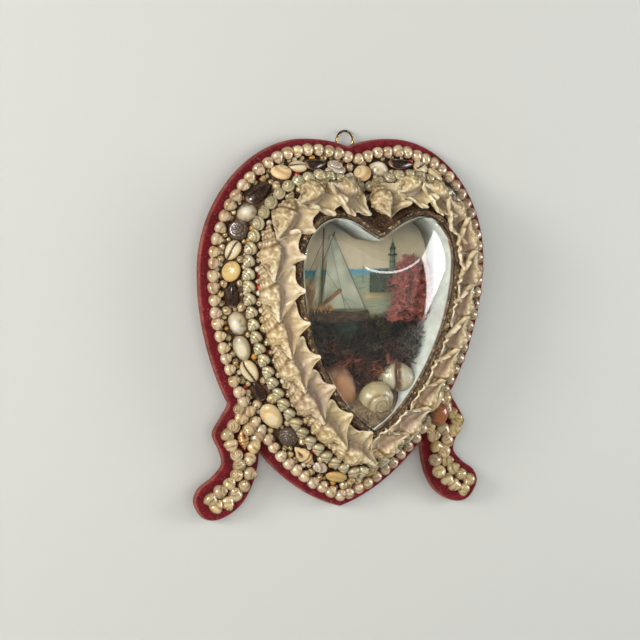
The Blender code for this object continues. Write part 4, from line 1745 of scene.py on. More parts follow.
@dataclass
class MiddleRow(Assembly):
    """The unlike shells between the two pearly rows, in millimetres.

    Each entry is a kind, its distance from the notch down its side, its half length, half
    width and height, and its turn in degrees from the row.
    """

    share: float = 0.37
    gap: float = 0.3
    line_height: float = 4.8
    swell: float = 1.06
    left: tuple[Entry, ...] = (
        (Kind.PEARL, 17.0, 7.0, 6.2, 6.0, 20), (Kind.MUSSEL, 33.9, 7.6, 5.2, 5.5, 5),
        (Kind.COWRIE, 47.6, 5.8, 4.6, 5.5, -20), (Kind.ROUND, 61.2, 6.9, 6.9, 7.5, 0),
        (Kind.MUSSEL, 82.5, 9.0, 5.6, 6.0, -15), (Kind.LIMPET, 98.0, 6.3, 6.2, 5.5, 0),
        (Kind.TOP, 111.4, 6.8, 6.8, 7.5, 0), (Kind.COWRIE, 125.4, 6.6, 4.7, 6.0, -25),
        (Kind.YELLOW, 139.2, 6.9, 6.8, 7.0, 0), (Kind.MUSSEL, 155.2, 7.6, 4.4, 5.5, -8),
        (Kind.LIMPET, 174.3, 7.4, 6.2, 5.5, 0), (Kind.OVAL, 190.9, 8.2, 5.4, 6.5, 0),
        (Kind.COWRIE, 207.3, 7.6, 5.4, 6.5, 10), (Kind.MUSSEL, 222.6, 6.9, 4.2, 5.5, 0),
        (Kind.RINGED, 242.2, 9.0, 6.6, 8.0, 0), (Kind.TOP, 262.3, 7.0, 7.0, 7.0, 0),
        (Kind.WHELK, 280.5, 9.3, 5.0, 8.0, 0), (Kind.PEARL, 296.2, 5.4, 4.8, 5.0, 0),
        (Kind.YELLOW, 310.6, 7.6, 6.0, 6.5, 0),
    )
    right: tuple[Entry, ...] = (
        (Kind.ROUND, 3.9, 6.4, 6.4, 7.0, 0), (Kind.LIMPET, 18.4, 6.6, 6.2, 5.5, 0),
        (Kind.MUSSEL, 36.0, 9.0, 5.0, 5.5, 0), (Kind.COWRIE, 51.8, 5.8, 5.0, 6.0, 40),
        (Kind.ROUND, 64.8, 6.2, 6.2, 7.0, 0), (Kind.MUSSEL, 81.0, 8.4, 5.0, 5.5, 0),
    )
    far: tuple[Entry, ...] = (
        (Kind.COWRIE, 96.0, 6.4, 4.7, 6.0, 10), (Kind.LIMPET, 110.0, 6.4, 6.0, 6.0, 0),
        (Kind.ROUND, 125.0, 6.2, 6.2, 8.0, 0), (Kind.YELLOW, 139.0, 6.2, 5.8, 8.0, 0),
        (Kind.MUSSEL, 151.5, 7.0, 4.6, 7.0, 5), (Kind.TOP, 165.0, 6.2, 6.2, 8.0, 0),
        (Kind.LIMPET, 178.0, 6.2, 6.0, 6.0, 0), (Kind.YELLOW, 191.6, 6.2, 5.8, 8.0, 0),
        (Kind.COWRIE, 205.0, 6.4, 4.8, 7.0, -8), (Kind.MUSSEL, 219.0, 6.6, 4.4, 6.5, 0),
        (Kind.RINGED, 236.0, 9.0, 6.4, 9.0, 0), (Kind.MUSSEL, 252.0, 6.4, 4.2, 6.5, 0),
        (Kind.OVAL, 267.0, 7.2, 5.2, 7.0, 0), (Kind.LIMPET, 281.0, 6.0, 5.8, 6.0, 0),
        (Kind.PEARL, 293.0, 5.0, 5.0, 7.0, 0), (Kind.YELLOW, 304.0, 5.8, 5.4, 7.0, 0),
    )
    masters: dict[Kind, bpy.types.Mesh] = field(default_factory=dict)

    def build(self) -> None:
        """Build every shell of the row; those of the far right side stand for one string."""
        luck = random.Random(21)
        row = Row(self.hearts, self.share, self.line_height * MM)
        counts: dict[Kind, int] = {}
        for entry, side in [(entry, 1) for entry in self.left] + [(entry, -1) for entry in self.right]:
            kind = entry[0]
            counts[kind] = counts.get(kind, 0) + 1
            node = f"{kind.value}_{counts[kind]:02d}"
            shape = tinted_shape()
            self.add(shape, row, entry, side, luck)
            self.maker.piece(shape, node + "_real", SHELL_FORMS[kind][1], kind.value, node)
        for finish in sorted({SHELL_FORMS[entry[0]][1] for entry in self.far}):
            shape = tinted_shape()
            for entry in self.far:
                if SHELL_FORMS[entry[0]][1] == finish:
                    self.add(shape, row, entry, -1, luck)
            self.maker.piece(shape, "right_middle_" + finish, finish, "mixed_shells", "middle_row_right")

    def spin(self, kind: Kind, luck: random.Random) -> Matrix:
        """Turn a shell as it might have been set down.

        Args:
            kind: The kind of shell.
            luck: The row's random numbers.

        Returns:
            Its turn: round shells any way, upright ones about their crown, the rest not at all.
        """
        if kind in (Kind.ROUND, Kind.YELLOW, Kind.PEARL):
            tip = turn(luck.uniform(20, 50), "X") @ turn(luck.uniform(-40, 40), "Y")
            return tip @ turn(luck.uniform(0, 360), "Z")
        if kind in (Kind.LIMPET, Kind.TOP):
            return turn(luck.uniform(0, 360), "Z")
        return Matrix.Identity(4)

    def add(self, shape: Shape, row: Row, entry: Entry, side: int, luck: random.Random) -> None:
        """Add one shell to a shape.

        Args:
            shape: The shape that receives it.
            row: The line that it sits on.
            entry: What it is, and where.
            side: 1 for the left side and -1 for the right.
            luck: The row's random numbers.
        """
        kind, distance, half_length, half_width, height, askew = entry
        if kind not in self.masters:
            self.masters[kind] = SHELL_FORMS[kind][0].build(kind.value + "_one")
        stands = kind in (Kind.LIMPET, Kind.TOP)
        long, wide = half_length * self.swell * MM, half_width * self.swell * MM
        size = stretch(long, wide, (height if stands else height / 2) * MM)
        rise = shift(0, 0, self.gap * MM if stands else height / 2 * MM)
        ground = row.seat(side * distance * MM)
        seat = ground @ turn(askew, "Z") @ rise @ size @ self.spin(kind, luck)
        light = luck.uniform(0.9, 1.05)
        hue = (light, light, light * luck.uniform(0.92, 1.0))
        add_copy(shape, self.masters[kind], seat, hue, ground, height * 0.45 * MM)
        flat = row.seat(side * distance * MM, height / 2 * MM) @ turn(askew, "Z")
        for along in (-1, 0, 1):
            self.spots.add(flat @ Vector((along * max(long - wide, 0.0), 0, 0)), wide)


@dataclass
class PelicanRow(Assembly):
    """The ring of pelican's foot shells round the glass, in millimetres and degrees.

    A run is the first and the last distance from the notch down the left side and round, a
    count, a scale, how far the shells are shifted inward and how far they waver. Each shell
    at the notch is its distance short of it, its turn, its lean, its scale, how far it is
    shifted inward and its lift.
    """

    shell: PelicanFoot = PelicanFoot()
    share: float = 0.735
    lift: float = 6.0
    turned: float = 20.0
    bend: float = 1.0
    bend_size: float = 9.0
    runs: tuple[tuple[float, ...], ...] = ((26.0, 253.7, 10, 1.0, 0.0, 3.0), (283.0, 465.0, 9, 0.94, 3.0, 9.0))
    notch: tuple[tuple[float, ...], ...] = (
        (49, 19, 0, 0.94, 0, 0), (28, 24, 0, 0.92, 0, 2.5), (4, 66, 8, 0.92, 2.5, 5.0),
    )

    def seats(self, row: Row, luck: random.Random) -> list[tuple[Matrix, float]]:
        """Set out the ring.

        Args:
            row: The line that the shells sit on.
            luck: The ring's random numbers.

        Returns:
            Each shell's turned seat and its scale.
        """
        seats = []
        for first, last, count, scale, inward, waver in self.runs:
            for i in range(count):
                distance = (first + (last - first) * i / (count - 1)) * MM
                seat = row.seat(distance) @ shift(0, inward * MM, -0.5 * inward * MM)
                turned = self.turned + luck.uniform(-waver, waver)
                seats.append((seat @ turn(turned, "Z"), scale * (1 + luck.uniform(-waver, waver) / 140)))
        for distance, turned, lean, scale, aside, lift in self.notch:
            seat = row.seat(row.length - distance * MM, lift * MM) @ shift(0, aside * MM, 0)
            seats.append((seat @ turn(turned, "Z") @ turn(lean, "Y"), scale))
        return seats

    def build(self) -> None:
        """Build the whole ring."""
        luck = random.Random(31)
        row = Row(self.hearts, self.share, self.lift * MM)
        master = self.shell.build("pelican_foot_one")
        for i, (seat, scale) in enumerate(self.seats(row, luck), 1):
            shape = tinted_shape()
            light = luck.uniform(0.86, 1.04)
            pose = seat @ Matrix.Scale(scale * MM, 4)
            add_copy(shape, master, pose, (light, light * luck.uniform(0.96, 1.01), light * luck.uniform(0.88, 1.02)))
            for vertex in shape.verts:
                place = vertex.co / (self.bend_size * MM) + Vector((i * 3.1, 0, 0))
                vertex.co += noise.noise_vector(place) * self.bend * MM
            for x in (-18, -12, -6, 0, 6):
                self.spots.add(pose @ Vector((x, 0, 5)), 7.4 * MM * scale * (1 - abs(x) / 36))
            self.maker.piece(
                shape, f"pelican_foot_{i:02d}_real", "ochre_shell", "ochre_shell", f"pelican_foot_shell_{i:02d}"
            )


@dataclass
class FootShells(Assembly):
    """The small shells on the two feet, along each foot's outline, in millimetres."""

    places: tuple[Point2, ...] = (
        (81.7, -56.0), (86.5, -60.9), (91.8, -65.9), (88.4, -72.7), (83.9, -80.1), (81.6, -86.9), (83.6, -93.4),
        (88.9, -99.3), (96.3, -103.5), (103.2, -107.8), (98.8, -113.8), (71.5, -75.6), (74.1, -83.0),
        (74.4, -92.6), (78.0, -100.9), (84.4, -106.2), (90.3, -110.6), (82.0, -50.2), (69.2, -69.0),
    )
    left_place: Point2 = (75.1, -63.0)
    whelk_place: Point2 = (79.2, -70.2)
    whelk_size: Point3 = (7.0, 4.2, 4.2)
    whelk_turn: float = -78
    right_place: Point2 = (79.6, -71.0)
    amber_place: Point2 = (74.2, -60.6)
    amber_size: Point3 = (8.6, 7.2, 6.4)
    amber_turn: float = 60
    radius: float = 4.85
    face: float = 5.3
    right_inset: float = 2.0
    shell: CoiledShell = CoiledShell(
        paint(196, 170, 130), paint(128, 90, 54), paint(160, 124, 82), spire=1.3, growth=1.6, depth=0.07,
        taper=1.6, round_off=0.75, glow=paint(216, 200, 170), glow_share=0.5, seam_edge=0.9,
    )
    whelk: Whelk = Whelk(paint(204, 162, 112), paint(150, 104, 66), paint(84, 48, 32))
    amber: DomedShell = DomedShell(paint(122, 88, 78), paint(176, 112, 66), paint(158, 100, 72), ring_width=0.3)

    def build(self) -> None:
        """Build both feet's shells, with a whelk on the left foot and an amber shell on the right."""
        master = self.shell.build("foot_shell_one")
        self.dress("left", -1, 41, master, self.left_place, self.whelk, self.whelk_place, self.whelk_size,
                   self.whelk_turn)
        self.dress("right", 1, 42, master, self.right_place, self.amber, self.amber_place, self.amber_size,
                   self.amber_turn)

    def dress(
        self, label: str, side: int, seed: int, master: bpy.types.Mesh, last_place: Point2, other: ShellForm,
        other_place: Point2, other_size: Point3, other_turn: float,
    ) -> None:
        """Build one foot's shells.

        Args:
            label: The foot's name.
            side: -1 for the left foot and 1 for the right.
            seed: The seed of its random numbers.
            master: The small shell.
            last_place: Where the last small shell sits.
            other: The one larger shell.
            other_place: Where that sits.
            other_size: Its half length, half width and half height.
            other_turn: How it is turned, in degrees.
        """
        luck = random.Random(seed)
        shape = tinted_shape()
        for place in (*self.places, last_place):
            size = self.radius * luck.uniform(0.94, 1.06)
            ground = self.ground(place, side)
            way = turn(luck.uniform(0, 360), "Z") @ turn(luck.uniform(30, 70), "X")
            light = luck.uniform(0.8, 1.16)
            hue = (light, light * luck.uniform(0.96, 1.02), light * luck.uniform(0.78, 0.98))
            raised = ground @ shift(0, 0, size * 0.8 * MM)
            lie = raised @ way @ turn(luck.uniform(0, 360), "Z") @ Matrix.Scale(size * MM, 4)
            add_copy(shape, master, lie, hue, ground, size * 0.9 * MM)
            self.spots.add(raised.translation, size * 0.92 * MM)
        ground = self.ground(other_place, side)
        long, wide, high = (length * MM for length in other_size)
        raised = ground @ shift(0, 0, high)
        lie = raised @ turn(other_turn, "Z") @ stretch(long, wide, high)
        add_copy(shape, other.build(f"foot_{label}_other"), lie, WHITE, ground, high * 0.8)
        self.spots.add(raised.translation, wide)
        self.maker.piece(shape, f"foot_pearls_{label}", "cream_pearl", "foot_pearl", f"foot_shells_{label}")

    def ground(self, place: Point2, side: int) -> Matrix:
        """Return a seat on the velvet at a place of a foot, with z forward."""
        across = side * place[0] - self.right_inset * (side > 0)
        return shift(*self.hearts.at(across, place[1], self.face)) @ turn(90, "X")


@dataclass
class Fillers(Assembly):
    """The small shells and beads pushed into every gap of the ground, in millimetres."""

    shares: tuple[float, ...] = (0.20, 0.235, 0.27, 0.305, 0.34, 0.375, 0.41, 0.445, 0.48, 0.56, 0.60)
    sizes: tuple[float, ...] = (3.5, 2.8, 2.1, 1.6)
    spacing: float = 1.9
    sunk: float = 0.7
    largest_bead: float = 2.5
    red_share: float = 0.14
    amber_share: float = 0.22
    bead_share: float = 0.34
    amber: Colour = paint(176, 132, 60)
    white: Colour = paint(206, 194, 168)
    shell: CoiledShell = CoiledShell(
        paint(216, 198, 160), paint(130, 92, 56), paint(150, 110, 70), 11, 8, spire=1.2, growth=2.0, taper=1.7,
    )

    def build(self) -> None:
        """Fill the gaps, larger shells first."""
        luck = random.Random(71)
        master = self.shell.build("small_shell_one")
        bead_shape = ball(9, 6)
        tint(bead_shape, lambda vertex: WHITE)
        bead = to_mesh(bead_shape, "small_bead_one")
        shells, beads = tinted_shape(), tinted_shape()
        for radius in self.sizes:
            for seat in self.seats(radius, luck):
                size = radius * luck.uniform(0.9, 1.08) * MM
                if not self.spots.free(seat.translation, size * 0.80):
                    continue
                self.spots.add(seat.translation, size)
                tip = turn(luck.uniform(0, 360), "Z") @ turn(luck.uniform(0, 75), "X")
                pose = seat @ tip @ turn(luck.uniform(0, 360), "Z") @ Matrix.Scale(size, 4)
                fate = luck.random()
                if radius < self.largest_bead and fate < self.bead_share:
                    add_copy(beads, bead, pose, self.bead_hue(fate, luck))
                else:
                    light = luck.uniform(0.7, 1.08)
                    hue = (light, light * 0.97, light * luck.uniform(0.78, 1.0))
                    add_copy(shells, master, pose, hue, seat @ shift(0, 0, -radius * self.sunk * MM), size)
        self.maker.piece(shells, "small_shells", "cream_pearl", "mixed_shells")
        self.maker.piece(beads, "small_beads", "glassy_bead", "mixed_shells")

    def seats(self, radius: float, luck: random.Random) -> list[Matrix]:
        """Return every seat on the ground for a size of shell, shuffled.

        Args:
            radius: The shells' radius.
            luck: The random numbers.

        Returns:
            The seats.
        """
        seats = []
        for share in self.shares:
            row = Row(self.hearts, share, 0)
            count = int(row.length / (self.spacing * MM))
            seats += [row.seat(row.length * i / count, radius * self.sunk * MM) for i in range(count)]
        luck.shuffle(seats)
        return seats

    def bead_hue(self, fate: float, luck: random.Random) -> Colour:
        """Return a bead's colour: red, amber or white.

        Args:
            fate: Its random number.
            luck: The random numbers, of which a red bead takes one more.

        Returns:
            The colour.
        """
        if fate < self.red_share:
            return blend(paint(170, 44, 44), paint(120, 30, 34), luck.random())
        return self.amber if fate < self.amber_share else self.white


# ---- The glass and what is sealed behind it --------------------------------------------


@dataclass
class Glazing(Assembly):
    """The domed glass heart and the rough bead laid round its edge, in millimetres."""

    centre: Point2 = (0, 18)
    edge_height: float = 46.4
    thickness: float = 1.9
    bulge: float = 13.0
    roundness: float = 2.6
    corner_reach: int = 46
    half_count: int = 90
    shares: tuple[float, ...] = (1.0, 0.97, 0.93, 0.88, 0.82, 0.75, 0.67, 0.58, 0.49, 0.4, 0.31, 0.22, 0.14, 0.07)
    bead_share: float = 0.953
    bead_radius: float = 1.8
    bead_count: int = 260
    grit: float = 1.02
    gap: float = 0.3

    def build(self) -> None:
        """Build the glass and its bead."""
        self.build_glass()
        self.build_bead()

    def build_glass(self) -> None:
        """Build the pane, which rises from its edge to a rounded crown."""
        shape = bmesh.new()
        edge = self.hearts.loop(1.0, self.edge_height * MM, self.half_count)
        middle = self.hearts.at(*self.centre, self.edge_height)
        sections = []
        for share in self.shares:
            rise = Vector((0, -self.bulge * (1 - share ** self.roundness) * MM, 0))
            eased = self.rounded(edge, int(self.corner_reach * (1 - share)))
            sections.append([middle.lerp(point, share) + rise for point in eased])
        skin(shape, sections, closed=False)
        rim = sorted((e for e in shape.edges if e.is_boundary), key=lambda e: (e.verts[0].co - middle).length)
        crown = bmesh.ops.holes_fill(shape, edges=rim[:len(edge)])["faces"]
        bmesh.ops.poke(shape, faces=crown)
        bmesh.ops.recalc_face_normals(shape, faces=shape.faces)
        if sum(f.normal.y for f in shape.faces) > 0:
            bmesh.ops.reverse_faces(shape, faces=shape.faces)
        bmesh.ops.solidify(shape, geom=shape.faces[:], thickness=self.thickness * MM)
        self.maker.piece(shape, "clear_dome", "clear_glass", "clear_glass", "glass_dome")

    def build_bead(self) -> None:
        """Build the gritty bead round the glass."""
        height = self.hearts.top_height + (self.gap + self.bead_radius) * MM
        line = self.hearts.loop(self.bead_share, height, self.bead_count)
        radii = []
        for point in line:
            lump = speckle(point, 2.6 * MM)
            radii.append(self.bead_radius * self.grit * (0.94 + 0.25 * lump) * MM)
            point.y += 0.3 * speckle(point, 4 * MM, 4.0) * MM
        shape = bmesh.new()
        tube(shape, line, radii, 12, closed=True)
        roughen(shape, 0.9, 0.4)
        self.maker.piece(shape, "gritty_bead", "gilt_brown_bead", "gilt_brown_bead", "glass_bead")

    def rounded(self, loop: list[Vector], reach: int) -> list[Vector]:
        """Ease a loop's corners.

        Args:
            loop: The loop's points.
            reach: How many points on both sides each point is averaged over.

        Returns:
            The eased loop.
        """
        weights = [(step, 1 + math.cos(math.pi * step / (reach + 1))) for step in range(-reach, reach + 1)]
        total = sum(weight for _, weight in weights)
        return [
            sum((loop[(i + step) % len(loop)] * weight for step, weight in weights), Vector()) / total
            for i in range(len(loop))
        ]


@dataclass
class Harbour(Assembly):
    """The scene sealed behind the glass: a painted card, a boat, weed, sand and shells.

    Places are (x, z) in millimetres from the heart's centre, with heights forward from
    the board's back.
    """

    edge_share: float = 1.052
    card_back: float = 15.3
    card_face: float = 16.5
    card_middle: float = 12.0
    card_count: int = 130
    card_rings: int = 79
    horizon: float = 40.5
    sky_top: Colour = paint(102, 106, 102)
    sky_low: Colour = paint(166, 152, 129)
    cloud: Colour = paint(176, 162, 136)
    blue: Colour = paint(74, 124, 138)
    sea: Colour = paint(123, 130, 108)
    furrow: Colour = paint(76, 88, 72)
    deep: Colour = paint(30, 42, 34)
    shadow: Colour = paint(58, 68, 50)
    sunlit: Colour = paint(186, 150, 98)
    pale: Colour = paint(84, 97, 86)
    dark: Colour = paint(44, 50, 44)
    near: float = 21.5
    tower_x: float = 27.5
    spars: tuple[tuple[Point2, Point2, float], ...] = (
        ((-28.6, 68.5), (-28.9, 17.5), 0.42), ((-20.0, 65.5), (-28.6, 46.0), 0.22),
        ((-29.5, 17.0), (-14.5, 27.5), 1.2), ((-41, 14.6), (8, 11.4), 0.5), ((-28.6, 60), (-44, 30), 0.16),
        ((-20.6, 63.5), (6.0, 12.4), 0.13), ((-24.6, 63.5), (-10.0, 13.0), 0.12), ((-26, 40), (-6, 14), 0.12),
    )
    sails: tuple[tuple[float, float, float, float], ...] = ((-27.5, 6.5, -22.0, 64.0), (-40.0, -30.0, -29.6, 50.0))
    sail_foot: float = 14.5
    bank_foot: float = 16.8
    bank_rings: int = 22

    def build(self) -> None:
        """Build the whole scene, back to front."""
        self.build_card()
        self.build_lighthouse()
        self.build_hull()
        self.build_spars()
        self.build_sails()
        self.build_grass()
        self.build_weed()
        self.build_sand()
        self.build_shells()

    def add(self, shape: Shape, name: str, finish: str = "painted_picture", *nodes: str) -> None:
        """Add a finished shape to the valentine."""
        self.maker.piece(shape, name, finish, "painted_card", *nodes)

    def build_card(self) -> None:
        """Build the heart-shaped card and paint the sky, the water and the far shore on it."""
        shape = bmesh.new()
        middle = self.hearts.at(0, self.card_middle, self.card_face)
        heights = (self.card_back, self.card_face)
        back, edge = (self.hearts.loop(self.edge_share, height * MM, self.card_count) for height in heights)
        shares = (1 - 0.0125 * i for i in range(1, self.card_rings))
        sections = [back, edge] + [[middle.lerp(point, share) for point in edge] for share in shares]
        skin(shape, sections, closed=False, capped=True)
        tint(shape, self.scenery)
        self.add(shape, "painted_card", "painted_picture", "picture_card")

    def scenery(self, vertex: Vert) -> Colour:
        """Return the paint at a point of the card: clouds over blue and grey water, and a pier's reflection.

        Args:
            vertex: The point.

        Returns:
            The colour.
        """
        x, z = vertex.co.x / MM, (vertex.co.z - self.hearts.centre_z) / MM
        cloud = speckle(Vector((x, z, 0)), 16, 2.0)
        if z > self.horizon:
            colour = blend(self.sky_low, self.sky_top, ramp(z + 4 * cloud, 52, 78))
            return blend(colour, self.cloud, 0.4 * ramp(cloud, 0.1, 0.5))
        down = self.horizon - z
        wave = speckle(Vector((x / 7, z, 0)), 1.1)
        stroke = 0.5 + 0.5 * math.sin(z * 3.4 + 2 * wave)
        colour = blend(self.sea, self.furrow, 0.75 * stroke * ramp(wave, -0.3, 0.35))
        colour = blend(colour, self.deep, ramp(down + 3 * wave, 26, 37))
        colour = blend(colour, self.blue, (1 - ramp(down, 2.5, 6)) * ramp(24 - x, 0, 5))
        pier = ramp(x, 10.5, 11.5) * (1 - ramp(x, 39, 40))
        floor = 26 - 6 * ramp(x, 12, 38)
        colour = blend(colour, self.shadow, pier * ramp(z, floor - 9, floor) * (0.7 + 0.5 * wave))
        glow = math.exp(-(((x - 12) / 16) ** 2 + ((z - 22) / 3.5) ** 2))
        glow += 0.8 * math.exp(-(((x - 6) / 14) ** 2 + ((z - 11) / 3) ** 2))
        return blend(colour, self.sunlit, 0.6 * glow * (0.6 + wave))

    def build_lighthouse(self) -> None:
        """Build the pier, its rail of small posts, and the lighthouse on it."""
        shape = bmesh.new()
        place = shift(*self.hearts.at(25, 31.2, self.card_face + 0.9))
        bmesh.ops.create_cube(shape, size=1, matrix=place @ stretch(27.6 * MM, 1.6 * MM, 12.4 * MM))
        bmesh.ops.subdivide_edges(shape, edges=shape.edges, cuts=18, use_grid_fill=True)
        roughen(shape, 2.2, 0.12)
        tint(shape, lambda v: blend(
            paint(62, 68, 48), paint(32, 44, 34), 0.5 + 0.9 * speckle(Vector((v.co.x * 2, v.co.y, v.co.z)), 4 * MM)
        ))
        tower = (
            (37.6, 40.5, 2.9, self.pale), (40.5, 44.6, 2.3, self.pale), (44.6, 45.2, 2.5, self.dark),
            (45.2, 49.0, 2.1, self.pale), (49.0, 49.9, 3.6, self.dark), (49.9, 53.2, 1.5, self.pale),
            (53.2, 54.0, 2.6, self.dark),
        )
        posts = [(self.tower_x, low, high, radius, radius * 0.92, 18, hue) for low, high, radius, hue in tower]
        posts += [(x, 49.9, 53.2, 0.3, 0.3, 8, self.dark) for x in (25.9, 29.1)]
        posts += [(self.tower_x, 54.0, 57.4, 1.9, 0.3, 18, paint(58, 70, 62)),
                  (self.tower_x, 57.2, 60.2, 0.22, 0.12, 8, paint(60, 64, 56))]
        rail = ((15.5, 2.2), (17.2, 1.6), (18.6, 2.6), (21.0, 2.0), (23.2, 2.8), (24.6, 2.0))
        posts += [(x, 37.2, 37.2 + height, 0.55, 0.3, 8, paint(66, 58, 50)) for x, height in rail]
        posts.append((5.0, 31.0, 42.5, 0.3, 0.25, 8, paint(84, 100, 98)))
        for post in posts:
            self.post(shape, *post)
        self.add(shape, "lighthouse_pier")

    def post(
        self, shape: Shape, x: float, low: float, high: float, radius: float, top: float, sides: int, hue: Colour,
    ) -> None:
        """Add an upright post to the pier, flattened to stand in low relief.

        Args:
            shape: The shape that receives it.
            x: Where it stands.
            low: The height of its foot.
            high: The height of its top.
            radius: Its radius at the foot.
            top: Its radius at the top.
            sides: Faces round it.
            hue: Its colour.
        """
        middle = self.hearts.at(x, (low + high) / 2, self.card_face + 1.2)
        made = bmesh.ops.create_cone(
            shape, cap_ends=True, segments=sides, radius1=radius * MM, radius2=top * MM, depth=(high - low) * MM,
            matrix=shift(*middle) @ stretch(1, 0.5, 1),
        )["verts"]
        layer = shape.verts.layers.float_color["tint"]
        for vertex in made:
            vertex[layer] = (*hue, 1.0)

    def build_hull(self) -> None:
        """Build the boat's planked hull."""
        shape = bmesh.new()
        for vertex, u, v in sheet(shape, 60, 12):
            top = 15.5 - 4.2 * u + 2.2 * (2 * u - 1) ** 2
            low = 6.2 + 2.0 * (2 * u - 1) ** 4
            plank = 0.25 * math.sin(v * math.pi * 7)
            bulge = 4.0 * math.sin(math.pi * u) ** 0.5 * (0.4 + 0.6 * v) + plank
            vertex.co = self.hearts.at(-43 + 54 * u - 2 * v, low + (top - low) * v, self.near - 3 + bulge)
        bmesh.ops.solidify(shape, geom=shape.faces[:], thickness=0.8 * MM)
        tint(shape, lambda v: blend(
            paint(74, 52, 34), paint(24, 17, 12), 0.5 + 0.9 * speckle(Vector((v.co.x, v.co.y, v.co.z * 5)), 4 * MM)
        ))
        self.add(shape, "boat_hull")

    def build_spars(self) -> None:
        """Build the mast, the boom and the rigging."""
        shape = bmesh.new()
        for (x0, z0), (x1, z1), radius in self.spars:
            steps = (0, 0.25, 0.5, 0.75, 1)
            line = [self.hearts.at(x0 + (x1 - x0) * t, z0 + (z1 - z0) * t, self.near) for t in steps]
            tube(shape, line, [radius * MM] * len(steps), 8)
        tint(shape, self.spar_hue)
        self.add(shape, "boat_spars")

    def spar_hue(self, vertex: Vert) -> Colour:
        """Return a spar's colour: dark, but for the pale boom.

        Args:
            vertex: The point.

        Returns:
            The colour.
        """
        x, z = vertex.co.x / MM, (vertex.co.z - self.hearts.centre_z) / MM
        patch = 0.5 + speckle(vertex.co, 6 * MM)
        if -30.5 < x < -13 and 16 < z < 29 and abs(z - 17 - 0.7 * (x + 29.5)) < 3:
            return blend(paint(124, 88, 50), paint(84, 58, 32), patch)
        return blend(paint(86, 74, 54), paint(46, 40, 32), patch)

    def build_sails(self) -> None:
        """Build the two pale sails."""
        shape = bmesh.new()
        for low_left, low_right, top, peak in self.sails:
            for vertex, u, v in sheet(shape, 30, 40):
                left, right = low_left + (top - low_left) * v, low_right + (top + 1.5 - low_right) * v
                belly = 1.6 * math.sin(math.pi * u) * math.sin(math.pi * (0.15 + 0.8 * v))
                height = self.sail_foot + (peak - self.sail_foot) * v
                vertex.co = self.hearts.at(left + (right - left) * u, height, self.near - 2.2 + belly)
        bmesh.ops.solidify(shape, geom=shape.faces[:], thickness=0.25 * MM)
        tint(shape, lambda v: blend(paint(162, 160, 142), paint(118, 120, 104), 0.5 + 0.7 * speckle(v.co, 9 * MM)))
        self.add(shape, "boat_sail")

    def sprig(self, name: str, luck: random.Random, twigs: int, reach: float, thick: float) -> bpy.types.Mesh:
        """Build one sprig of curved twigs that fan from a root, in millimetres.

        Args:
            name: The mesh's name.
            luck: The weed's random numbers.
            twigs: How many twigs it has.
            reach: Their length.
            thick: Their radius at the root.

        Returns:
            The sprig's mesh.
        """
        shape = bmesh.new()
        for _ in range(twigs):
            way = Vector((luck.uniform(-1, 1), luck.uniform(-1, 0.5), luck.uniform(-0.2, 1.2))).normalized()
            line = [Vector((0, 0, 0))]
            for _ in range(3):
                stray = Vector((luck.uniform(-0.7, 0.7), luck.uniform(-0.7, 0.7), luck.uniform(-0.6, 0.8)))
                way = (way + stray).normalized()
                line.append(line[-1] + way * reach / 3 * luck.uniform(0.7, 1.3))
            tube(shape, line, [thick, thick * 0.8, thick * 0.6, thick * 0.3], 3)
        tint(shape, lambda vertex: WHITE)
        return to_mesh(shape, name)

    def scatter(
        self, name: str, sprigs: Sequence[bpy.types.Mesh], spots: Iterable[tuple[Vector, Colour, float]],
        luck: random.Random, upright: float,
    ) -> None:
        """Plant sprigs of weed.

        Args:
            name: The piece's name.
            sprigs: The sprigs to choose from.
            spots: Each one's place, colour and size.
            luck: The weed's random numbers.
            upright: The least angle that they stand at, in degrees.
        """
        shape = tinted_shape()
        for place, hue, size in spots:
            pose = turn(luck.uniform(-180, 180), "Z") @ turn(luck.uniform(-1, 1) * (90 - upright), "X")
            matrix = shift(*place) @ pose @ Matrix.Scale(size * MM, 4)
            add_copy(shape, luck.choice(sprigs), matrix, hue)
        self.add(shape, name, "dyed_weed")

    def build_weed(self) -> None:
        """Build the dark weed across the front and the red weed beside the pier."""
        luck = random.Random(51)
        sprigs = [self.sprig(f"weed_sprig_{i}", luck, 8, 5.4, 0.42) for i in range(5)]
        spots = []
        while len(spots) < 860:
            x, z = luck.uniform(-48, 56), luck.uniform(-42, 17)
            forward = luck.uniform(20, 36)
            top = 11 - 3 * ramp(x, -44, -24) + 4 * ramp(x, -2, 12)
            dip = 16 * hump(x + 9, 14)
            side = 55 - 0.62 * max(0.0, 12 - z)
            if z > top - dip or abs(x) > side or (forward - 20) / 16 > 1.2 - ramp(z, -22, 14):
                continue
            brown = ramp(speckle(Vector((x, z, 0)), 14, 3.0) - (z + 6) / 24, 0.1, 0.9) * (1 - 0.5 * ramp(x, 10, 30))
            hue = blend(paint(46, 37, 26), paint(78, 40, 28), brown)
            # Most sprigs are darkened and a few made much brighter, at random: painted shade within the weed and
            # painted highlights on it, over the dye's own spread of tone.
            light = 0.2 + 4.0 * luck.random() ** 4
            spots.append((self.hearts.at(x, z, forward), tuple(c * light for c in hue), luck.uniform(0.7, 1.25)))
        self.scatter("dark_weed", sprigs, spots, luck, 30)

        spots = []
        while len(spots) < 420:
            x, z, forward = luck.uniform(18, 55), luck.uniform(6, 50), luck.uniform(19, 30)
            crown = 48 - 0.055 * (x - 38) ** 2 - 4 * speckle(Vector((x, 0, 0)), 5)
            if z > crown or x < 24 + 0.012 * (z - 30) ** 2 - 8 * ramp(10 - z, -8, 4):
                continue
            light = luck.uniform(0.55, 1.35)
            hue = blend(paint(178, 94, 84), paint(128, 78, 66), luck.random())
            spots.append((self.hearts.at(x, z, forward), tuple(c * light for c in hue), luck.uniform(0.5, 0.95)))
        self.scatter("red_weed", sprigs, spots, luck, 40)

